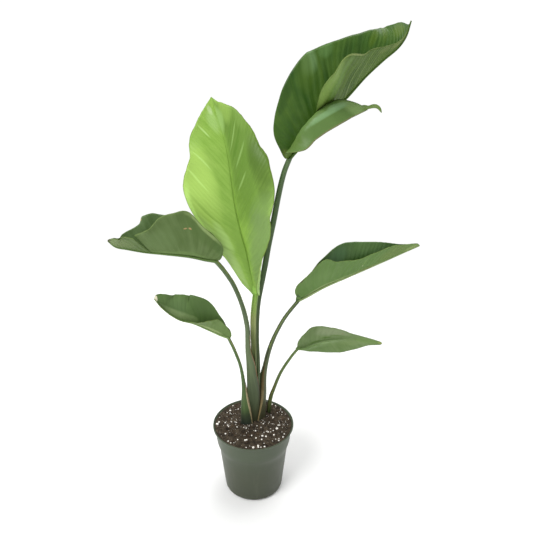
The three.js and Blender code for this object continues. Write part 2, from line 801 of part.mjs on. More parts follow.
// A point of a half blade: x along the midrib, w across it, u the vein's foot and t the share along it.
function laminaPoint(spine, half, x, w, u, t) {
  const { point, up, across } = spine.frame(x);
  const at = half.turnsAlongVein ? u : clamp(x / spine.length, 0, 1);
  const [inner, outer, turnStart, turnEnd] = through(half.fold, at);
  const slope = (distance) => radians(inner + (outer - inner) * ease(turnStart, turnEnd, distance));
  let sideways = 0;
  let rise = 0;
  for (let i = 0; i < SECTION_STEPS; i++) {
    const angle = slope((w * (i + 0.5)) / SECTION_STEPS);
    sideways += (Math.cos(angle) * w) / SECTION_STEPS;
    rise += (Math.sin(angle) * w) / SECTION_STEPS;
  }
  const [height, wavelength, phase] = half.wave;
  const lift = height * t * t * Math.min(1, w / 60) * Math.sin((2 * Math.PI * x) / wavelength + phase);
  const angle = slope(w);
  return point
    .addScaledVector(across, half.side * (sideways - lift * Math.sin(angle)))
    .addScaledVector(up, rise + lift * Math.cos(angle));
}

// The middle surface of a half blade, as rows of points along its veins.
function laminaRows(spine, half) {
  const [cellsAlong, cellsAcross] = half.cells;
  const [from, to] = half.span ?? [0, 1];
  const [bowFrom, bowTo] = half.bow ?? [0.1, 0.1];
  const rows = [];
  for (let i = 0; i <= cellsAlong; i++) {
    const share = i / cellsAlong;
    const u = from + (to - from) * (from > 0 ? share : share ** 1.5);
    const [length, degrees] = through(half.veins, u);
    const bow = bowFrom + ((bowTo - bowFrom) * (u - from)) / (to - from);
    const row = [];
    for (let j = 0; j <= cellsAcross; j++) {
      const t = j / cellsAcross;
      const x = u * spine.length + length * (Math.cos(radians(degrees)) * t + bow * (t * t - t));
      row.push(laminaPoint(spine, half, x, length * Math.sin(radians(degrees)) * t, u, t));
    }
    rows.push(row);
  }
  return rows;
}

// A half blade as a closed shell, with its upper and lower faces triangulated alike.
function laminaSolid(spine, half) {
  const rows = laminaRows(spine, half);
  const [rowCount, rowSize] = [rows.length, rows[0].length];
  const at = (i, j) => rows[clamp(i, 0, rowCount - 1)][clamp(j, 0, rowSize - 1)];
  const faces = [[], []];
  for (let i = 0; i < rowCount; i++) {
    for (let j = 0; j < rowSize; j++) {
      const along = at(i + 1, j).clone().sub(at(i - 1, j));
      const across = at(i, j + 1).clone().sub(at(i, j - 1));
      const normal = along.cross(across).setLength(BLADE_THICKNESS / 2);
      faces[0].push(at(i, j).clone().add(normal));
      faces[1].push(at(i, j).clone().sub(normal));
    }
  }
  const count = rowCount * rowSize;
  const triangles = [];
  for (let i = 0; i + 1 < rowCount; i++) {
    for (let j = 0; j + 1 < rowSize; j++) {
      const a = i * rowSize + j;
      const [b, c, d] = [a + 1, a + rowSize, a + rowSize + 1];
      triangles.push([a, b, d], [a, d, c]);
      triangles.push([a + count, d + count, b + count], [a + count, c + count, d + count]);
    }
  }
  const border = [];
  for (let j = 0; j + 1 < rowSize; j++) border.push(j);
  for (let i = 0; i + 1 < rowCount; i++) border.push(i * rowSize + rowSize - 1);
  for (let j = rowSize - 1; j > 0; j--) border.push((rowCount - 1) * rowSize + j);
  for (let i = rowCount - 1; i > 0; i--) border.push(i * rowSize);
  border.forEach((a, k) => {
    const b = border[(k + 1) % border.length];
    triangles.push([b, a, a + count], [b, a + count, b + count]);
  });
  return solid(faces.flat(), triangles);
}

const RIB_SIDES = 6;
const RIB_STEP = 30;
const RIB_SUNK = 0.45; // share of the midrib's radius below the lamina

function ribSolid(spine, [baseRadius, tipRadius]) {
  const rings = stations(spine.length, RIB_STEP).map((distance) => {
    const { point, up, across } = spine.frame(distance);
    const radius = THREE.MathUtils.lerp(baseRadius, tipRadius, (distance / spine.length) ** 0.7);
    return Array.from({ length: RIB_SIDES }, (_, k) => {
      const angle = (2 * Math.PI * (k + 0.5)) / RIB_SIDES;
      return point
        .clone()
        .addScaledVector(across, radius * Math.cos(angle))
        .addScaledVector(up, radius * (Math.sin(angle) - RIB_SUNK));
    });
  });
  return loft(rings, fan(RIB_SIDES));
}

const CURL_STEP = 4; // mm between sections

function curlSolid({ path, facing, width }) {
  const spine = new Spine(path, facing);
  const rings = stations(spine.length, CURL_STEP).map((distance) => {
    const { point, up, across } = spine.frame(distance);
    const [half] = through(width, distance / spine.length).map((value) => value / 2);
    const corner = (side, rise) =>
      point
        .clone()
        .addScaledVector(across, side * half)
        .addScaledVector(up, (rise * BLADE_THICKNESS) / 2);
    return [corner(1, 1), corner(-1, 1), corner(-1, -1), corner(1, -1)];
  });
  return loft(rings, fan(4));
}

function makeBlade(blade, stalks) {
  const spine = new Spine(blade.midrib, blade.facing);
  let shape = ribSolid(spine, blade.rib);
  for (const half of blade.halves) shape = shape.add(laminaSolid(spine, half));
  if (blade.curl) shape = shape.add(curlSolid(blade.curl));
  shape = shape.subtract(stalks.find((stalk) => stalk.name === blade.name).room);
  const colour = blade.name === "new" ? COLOURS.newBlade : COLOURS.blade;
  return meshFrom(largest(shape), "blade_" + blade.name, colour, 0.45);
}

// ---------------------------------------------------------------- soil

function soilHeight(x, y) {
  const reach = Math.min(1, Math.hypot(x, y) / SOIL.edgeRadius);
  const dome = THREE.MathUtils.lerp(SOIL.edgeHeight, SOIL.crownHeight, Math.cos((reach * Math.PI) / 2));
  const lumps =
    Math.sin(0.31 * x + 1.3 * Math.sin(0.17 * y)) * Math.sin(0.27 * y + 1.1 * Math.sin(0.21 * x));
  return dome + SOIL.lumpHeight * lumps * (1 - ease(0.86, 0.98, reach));
}

// The soil inside the pot's wall and floor, with its crumbly top.
function soilBody() {
  const clear = POT.wall + GAP;
  const collarFoot = POT.height - POT.collarHeight;
  const wallProfile = [
    [POT.bodyBottomRadius - clear - 2, POT.floor + GAP],
    [POT.bodyBottomRadius - clear, POT.bottomRounding + 1],
    [POT.bodyTopRadius - clear, collarFoot - POT.ledge / 2],
    [POT.collarBottomRadius - clear, collarFoot + 2],
    ...POT.flare.slice(0, 2).map(([radius, height]) => [radius - GAP, height]),
  ];
  const sides = POT.sides;
  const ring = (radius, height) =>
    Array.from({ length: sides }, (_, k) => {
      const angle = (2 * Math.PI * k) / sides;
      const [x, y] = [radius * Math.cos(angle), radius * Math.sin(angle)];
      return vector(x, y, height ?? soilHeight(x, y));
    });
  const rings = wallProfile.map(([radius, height]) => ring(radius, height));
  for (let i = SOIL.rings; i > 0; i--) rings.push(ring((SOIL.edgeRadius * i) / SOIL.rings));
  const points = [vector(0, 0, POT.floor + GAP), ...rings.flat(), vector(0, 0, soilHeight(0, 0))];
  const triangles = [];
  const top = points.length - 1;
  const lastRing = top - sides;
  for (let k = 0; k < sides; k++) {
    const next = (k + 1) % sides;
    triangles.push([0, 1 + next, 1 + k], [lastRing + k, lastRing + next, top]);
    for (let i = 0; i + 1 < rings.length; i++) {
      const [a, b] = [1 + i * sides + k, 1 + i * sides + next];
      triangles.push([a, b, b + sides], [a, b + sides, a + sides]);
    }
  }
  return solid(points, triangles);
}

// The oval holes that the clump stands in, and the round one of the stalk beside it.
function plantHoles() {
  const foot = CLUMP_AXIS[0][0] - SOIL.holeDeeper;
  const heights = [foot, foot + 16, foot + 32, foot + 48];
  const hole = (pointAt) => {
    const rings = heights.map((height) =>
      Array.from({ length: SOIL.holeSides }, (_, k) => pointAt(height, (360 * k) / SOIL.holeSides)),
    );
    return loft(rings, fan(SOIL.holeSides));
  };
  const beside = STALKS.find((stalk) => !stalk.sheath && stalk.name !== "new");
  const path = beside.path.map(([x, y, z]) => [z, x, y]);
  const radius = beside.radius[0][1] + 2 * GAP;
  const roundPoint = (height, angle) => {
    const [x, y] = through(path, height);
    return vector(x + radius * Math.cos(radians(angle)), y + radius * Math.sin(radians(angle)), height);
  };
  return [
    hole((height, angle) => ovalPoint(OVALS.third, height, angle, 1.5 * GAP)),
    hole((height, angle) => ovalPoint(OVALS.fourth, height, angle, 1.5 * GAP)),
    hole(roundPoint),
  ];
}

const GOLDEN_ANGLE = 2.39996; // radians

// Perlite grains, spread by a rule: evenly turned, with a repeatable scatter.
function grainPlaces() {
  const scatter = (i, k) => {
    const value = Math.sin(12.9898 * i + 78.233 * k) * 43758.5453;
    return value - Math.floor(value);
  };
  const places = [];
  for (let i = 1; places.length < SOIL.grains; i++) {
    const angle = GOLDEN_ANGLE * i + scatter(i, 1);
    const reach = SOIL.edgeRadius * Math.sqrt(scatter(i, 2));
    const radius = THREE.MathUtils.lerp(SOIL.grainSmall, SOIL.grainLarge, scatter(i, 3) ** 2);
    const [x, y] = [reach * Math.cos(angle), reach * Math.sin(angle)];
    const inPot = reach < SOIL.grainReach - radius;
    const [, clumpX, clumpY] = CLUMP_AXIS[0];
    const offClump = Math.hypot(x - clumpX, y - clumpY) > SOIL.grainFree;
    if (inPot && offClump) places.push({ x, y, radius, turn: angle });
  }
  return places;
}

function makeSoil() {
  let soil = soilBody();
  for (const { x, y, radius, turn } of grainPlaces()) {
    const grain = new THREE.OctahedronGeometry(radius).rotateX(turn).rotateZ(turn);
    grain.translate(x, y, soilHeight(x, y) + radius * (0.5 - SOIL.grainSunk));
    soil = soil.add(solidOf(grain));
  }
  for (const hole of plantHoles()) soil = soil.subtract(hole);
  return meshFrom(largest(soil), "soil", COLOURS.soil, 0.95);
}

// ---------------------------------------------------------------- plant

const group = new THREE.Group();
group.name = "potted_bird_of_paradise";
group.add(makePot(), makeSoil());
const stalks = makeStalks();
for (const { name, shape } of stalks) {
  group.add(meshFrom(shape, "petiole_" + name, COLOURS.stalk, 0.5));
}
for (const blade of BLADES) group.add(makeBlade(blade, stalks));

export default group;
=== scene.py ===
# Potted bird of paradise: six leaves on sheathed stalks in a plain nursery pot of dark soil.
# The tables are in millimetres, in the frame's own axes: +Z up, -Y the front, the origin under the pot.
import math
import random

import bmesh
import bpy
from mathutils import Matrix, Vector, noise


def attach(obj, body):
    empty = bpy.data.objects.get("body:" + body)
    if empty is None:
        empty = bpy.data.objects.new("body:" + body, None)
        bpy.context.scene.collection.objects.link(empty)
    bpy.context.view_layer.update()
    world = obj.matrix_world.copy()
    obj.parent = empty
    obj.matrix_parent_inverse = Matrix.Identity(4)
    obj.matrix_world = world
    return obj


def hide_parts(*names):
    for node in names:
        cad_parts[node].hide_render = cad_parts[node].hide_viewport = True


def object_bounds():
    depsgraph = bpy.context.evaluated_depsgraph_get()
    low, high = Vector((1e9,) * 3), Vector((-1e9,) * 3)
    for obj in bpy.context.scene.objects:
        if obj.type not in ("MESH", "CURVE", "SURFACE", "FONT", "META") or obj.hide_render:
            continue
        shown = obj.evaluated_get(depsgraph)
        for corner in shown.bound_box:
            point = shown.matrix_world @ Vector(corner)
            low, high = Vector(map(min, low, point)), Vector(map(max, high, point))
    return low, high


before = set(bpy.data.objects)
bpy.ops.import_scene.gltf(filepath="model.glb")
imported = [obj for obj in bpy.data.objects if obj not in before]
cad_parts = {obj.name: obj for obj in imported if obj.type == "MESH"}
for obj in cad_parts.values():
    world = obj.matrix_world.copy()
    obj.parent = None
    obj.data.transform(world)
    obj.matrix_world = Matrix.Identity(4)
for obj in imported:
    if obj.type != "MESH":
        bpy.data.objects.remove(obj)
cad_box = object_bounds()

MM = 0.001

# ------------------------------------------------------------------------------------ dimensions

POT = dict(
    height=150, rim_radius=82.5, lip_height=3.5, mouth_radius=80.5,
    collar_top_radius=78.5, collar_bottom_radius=75.3, collar_height=40, ledge=4.8,
    body_top_radius=70.5, body_bottom_radius=60, bottom_rounding=5, wall=2, floor=2.5,
    foot_ring_radius=34, hollow_radius=30, hollow_height=0.9,
    rounding=1.6, ledge_rounding=20, bend_below_ledge=8, bend_above_ledge=4,
    longest_face=9, faces_around=168, sharp_edge=math.radians(38),
    flare=[(76.5, 143.5), (77.2, 145.7), (80, 148.2)],
    drain_holes=8, drain_radius=5, drain_circle=44, drain_faces=28, drill_length=10,
)
SOIL_EDGE, SOIL_EDGE_RADIUS = 147.4, 78.7
SOIL_CROWN = 149.6
SOIL_LUMPS = 0.9  # height of the lumps that the solid has too
SOIL_CRUMBS = [(9, 0.9, 3), (3.2, 0.6, 40)]  # only on the surface: [size, height, noise lane]
SOIL_GAP = 0.35  # between the soil and the pot's wall
SOIL_RINGS, SOIL_FACES_AROUND, SOIL_LONGEST_FACE = 62, 250, 8
BLADE_THICKNESS = 0.8
BOX_ROOM = 0.6 * MM  # how far the blades stay inside the box of all the solids
FAN_TURN = math.radians(30)  # of the whole clump, about the vertical

# The finer form of a leaf, in millimetres: faces along and across a half, pleats, and two sizes of
# lumps, each with its height.
FACE_LENGTH, FACES_ACROSS = 1.9, 26
FOOT_CROWDING = 1.35  # draws the rows of faces together towards the stalk
RAGGED = [(7, 0.5, 3.1), (21, 0.8, 7.7)]  # the margin's unevenness: [length, height, noise lane]
SHORTEST_VEIN = 0.8
EVEN_VEIN, FLAT_VEIN = 30, 40  # lengths below which the margin gets more even, and the pleats flatter
PLEAT, PLEAT_HEIGHT = 9, 0.32
SOFT_LUMP, SOFT_HEIGHT = 34, 0.7
FINE_LUMP, FINE_HEIGHT = 2.6, 0.12
FOLD_STEPS = 14  # pieces in which a fold's rise is added up
WAVE_ROOM = 60  # distance from the midrib at which the margin's wave is in full
LOBE_CHART = 10  # where the torn lobe's finish starts on the UV map, in decimetres
MIDRIB_REACH = math.radians(142)  # how far round the keel goes, to each side
MIDRIB_ARC = 0.7  # of a midrib's section, on its round keel
MIDRIB_OVERLAP = 1.5  # into the stalk's end
MIDRIB_TAPER = 0.7
MIDRIB_SUNK, SINKING_LENGTH = 0.45, 22  # share of its radius below the blade, and where that is reached
MIDRIB_CHANNEL = 0.3  # depth, as a share of its radius
FACES_ROUND_MIDRIB, FACES_ROUND_STALK = 34, 72
SECTION_STEP = 3  # length of a face along a midrib or a stalk
STALK_REACH = math.radians(148)  # how far round the outer arc goes, to each side
OUTER_SHARE = 0.68  # of a stalk's section, on the outer arc
GROOVE_DEPTH, GROOVE_HALF_WIDTH = 0.55, 0.42  # as shares of the stalk's radius
RIDGE_HEIGHT, SWELL_HEIGHT = 0.07, 0.16  # fine ridges along a stalk, and its uneven thickness
FRILL_HEIGHT, FRILL_WIDTH = 0.5, 0.015  # of a sheath's papery margin, the width as a share of the section
SHEATH_CLEARANCE = 0.85  # between a sheath and the oval that it wraps
SHEATH_EDGE = 0.7  # the least thickness of a sheath
STALK_LANE, LEAF_LANE = 1.7, 2.3  # from one stalk's or leaf's noise to the next one's
UPPER_DULLNESS, UNDER_DULLNESS = 0.42, 0.54

# Grains strewn on the soil: [how many, the smallest, how much larger the largest, how rare the large
# ones are, height of the middle over the soil as a share of the size].
SMALL_PERLITE = (260, 0.35, 0.65, 3, 0.2)
CRUMBS = (1300, 0.5, 1.6, 2, 0.1)
BARK_CHIPS = 80
GRAIN_EDGE = POT["collar_top_radius"] - POT["wall"] - 2.6  # how far out the grains lie
SOIL_LEVEL = 147
CLUMP_ROOM = 1.2  # that the grains leave round the clump of stalks
LONE_STALK, LONE_ROOM = (32, 37), 6  # where the right lower stalk leaves the soil, and its room
MERGE_DISTANCE = 2e-6

CAMERA_SPOT = (0.0271, -0.852, 0.811)
CAMERA_TILT = math.radians(69.5)
CAMERA_LENS = 33.77
CAMERA_SENSOR = 36
PHOTO_MIDDLE = 266.5
PHOTO_FOCUS = 2 * PHOTO_MIDDLE * CAMERA_LENS / CAMERA_SENSOR
FLOOR_RADIUS = 1.3
SKY = (0.16, 0.42, 1.02, 0.45)  # where it starts to dim and ends, as a rise of 0 to 1, and how bright
# [name, place, what it is aimed at, side, power], in metres and watts.
LIGHTS = [
    ("key_light", (-1.6, -1.7, 2.7), (0, 0, 0.4), 1.7, 85),
    ("top_light", (0.5, 0.9, 3.1), (0, 0.3, 0.2), 2.2, 60),
]

# Axis of the clump of stalks: [height, x, y].
CLUMP_AXIS = [(112, 1, 13), (146, 1, 13), (222, 3, 10), (294, 3, 6), (341, 2, 1), (380, 2, -3)]

# Nested ovals of the clump, from the youngest stalk outwards:
# [height, offset along the fan, half length along the fan, half width across it].
OVALS = {
    "core": [(112, 0, 5.6, 5.6), (400, 0, 5.9, 5.9)],
    "first": [(112, 2, 8.8, 7.2), (207, 2, 9, 7.4), (277, 3, 9.8, 7.8), (330, 4, 11, 8)],
    "second": [
        (112, -1.6, 14.7, 9), (200, -1.8, 15.1, 9), (232, -2.2, 14.5, 9), (290, -4.5, 12.6, 8.8),
        (340, -7, 11.6, 8.2), (380, -9, 11, 8),
    ],
    "third": [(112, 5.2, 20.8, 10.8), (203, 6.2, 21, 10.6), (235, 7, 21, 10.6), (290, 9, 22, 11)],
    "fourth": [(112, -4.6, 24.6, 12.6), (200, -6.2, 24, 12), (232, -7, 23, 11.6), (265, -9, 22, 11)],
}

# Leaf stalks, from the youngest to the oldest. path: [x, y, z] from inside the soil to the blade.
# radius: [share of the length, radius]. facing: the grooved upper side's direction at shares of the
# length. A sheath wraps the younger stalks: it fills the space between two ovals, reaches from its
# back (spine) as far as the angles front and back at each height, and closes into a round stalk
# between the two heights of closes.
STALKS = [
    dict(
        name="new",
        path=[
            (1, 13, 112), (4, 12, 146), (4, 9, 222), (3, 5, 294), (2, 0, 341), (2, -4, 386), (4, -6, 416),
            (7, -8, 443),
        ],
        radius=[(0, 5), (0.4, 5.2), (0.8, 5.5), (1, 5.2)], facing=[(0, 0, -1, 0), (1, -0.25, -0.95, 0.1)],
    ),
    dict(
        name="top_right",
        path=[
            (6, 13, 112), (7, 13, 207), (8, 15, 277), (7, 17, 332), (8, 18, 381), (11, 20, 415),
            (17, 22, 447), (23, 24, 478), (31, 27, 525), (40, 30, 570), (48, 33, 613), (58, 36, 656),
            (68, 38, 682),
        ],
        radius=[(0, 5.5), (0.5, 5.5), (0.85, 5.3), (1, 4.6)],
        facing=[(0, -0.6, -0.8, 0), (0.7, -0.8, -0.5, 0.2), (1, -0.7, -0.45, 0.55)],
        sheath=dict(
            inside="core", outside="first", spine=-20, front=[(112, 120), (260, 100), (330, 80)],
            back=[(112, 120), (260, 100), (330, 80)], closes=(250, 335),
        ),
    ),
    dict(
        name="left_upper",
        path=[
            (-12, 6, 112), (-12, 5, 199), (-12, 3, 248), (-9, 0, 308), (-8, -5, 355), (-12, -12, 396),
            (-20, -18, 432), (-32, -23, 466), (-40, -26, 482), (-51, -29, 500), (-61, -32, 514),
        ],
        radius=[(0, 4.9), (0.5, 4.9), (0.8, 4.4), (1, 3.8)],
        facing=[(0, 0.87, 0.5, 0), (0.6, 0.87, 0.3, 0.3), (1, 0.1, -0.25, 1)],
        sheath=dict(
            inside="first", outside="second", spine=180,
            front=[(112, 150), (205, 148), (250, 122), (290, 100), (318, 76), (380, 40)],
            back=[(112, 130), (250, 110), (318, 80), (380, 50)], closes=(292, 384),
        ),
    ),
    dict(
        name="right_upper",
        path=[
            (16, 19, 112), (18, 18, 192), (20, 19, 236), (25, 21, 273), (33, 24, 308), (46, 27, 342),
            (64, 30, 376), (89, 34, 409),
        ],
        radius=[(0, 5.5), (0.4, 5.4), (0.6, 4.6), (0.75, 3.9), (1, 3.5)],
        facing=[(0, -0.87, -0.5, 0), (0.6, -0.8, -0.45, 0.35), (1, -0.25, -0.3, 1)],
        sheath=dict(
            inside="second", outside="third", spine=0,
            front=[(112, 104), (150, 98), (203, 66), (235, 58), (290, 40)],
            back=[(112, 108), (200, 96), (290, 60)], closes=(196, 286),
        ),
    ),
    dict(
        name="left_lower",
        path=[
            (-16, 4, 112), (-17, 3, 202), (-19, -1, 250), (-24, -5, 289), (-35, -10, 327),
            (-45, -14, 354),
        ],
        radius=[(0, 4.4), (0.45, 3.9), (0.7, 3.3), (1, 2.9)],
        facing=[(0, 0.87, 0.5, 0), (0.6, 0.8, 0.3, 0.4), (1, 0.1, -0.35, 1)],
        sheath=dict(
            inside="third", outside="fourth", spine=180,
            front=[(112, 86), (150, 82), (200, 58), (228, 42), (265, 30)],
            back=[(112, 92), (200, 70), (265, 40)], closes=(182, 262),
        ),
    ),
    dict(
        name="right_lower",
        path=[
            (31, 37, 112), (32, 37, 153), (36, 38, 185), (42, 39, 204), (56, 41, 242), (77, 43, 278),
            (90, 44, 296),
        ],
        radius=[(0, 4.6), (0.3, 4.4), (0.5, 3.5), (0.75, 3), (1, 2.7)],
        facing=[(0, -0.87, -0.5, 0), (0.6, -0.7, -0.4, 0.6), (1, -0.15, -0.45, 1)],
    ),
]

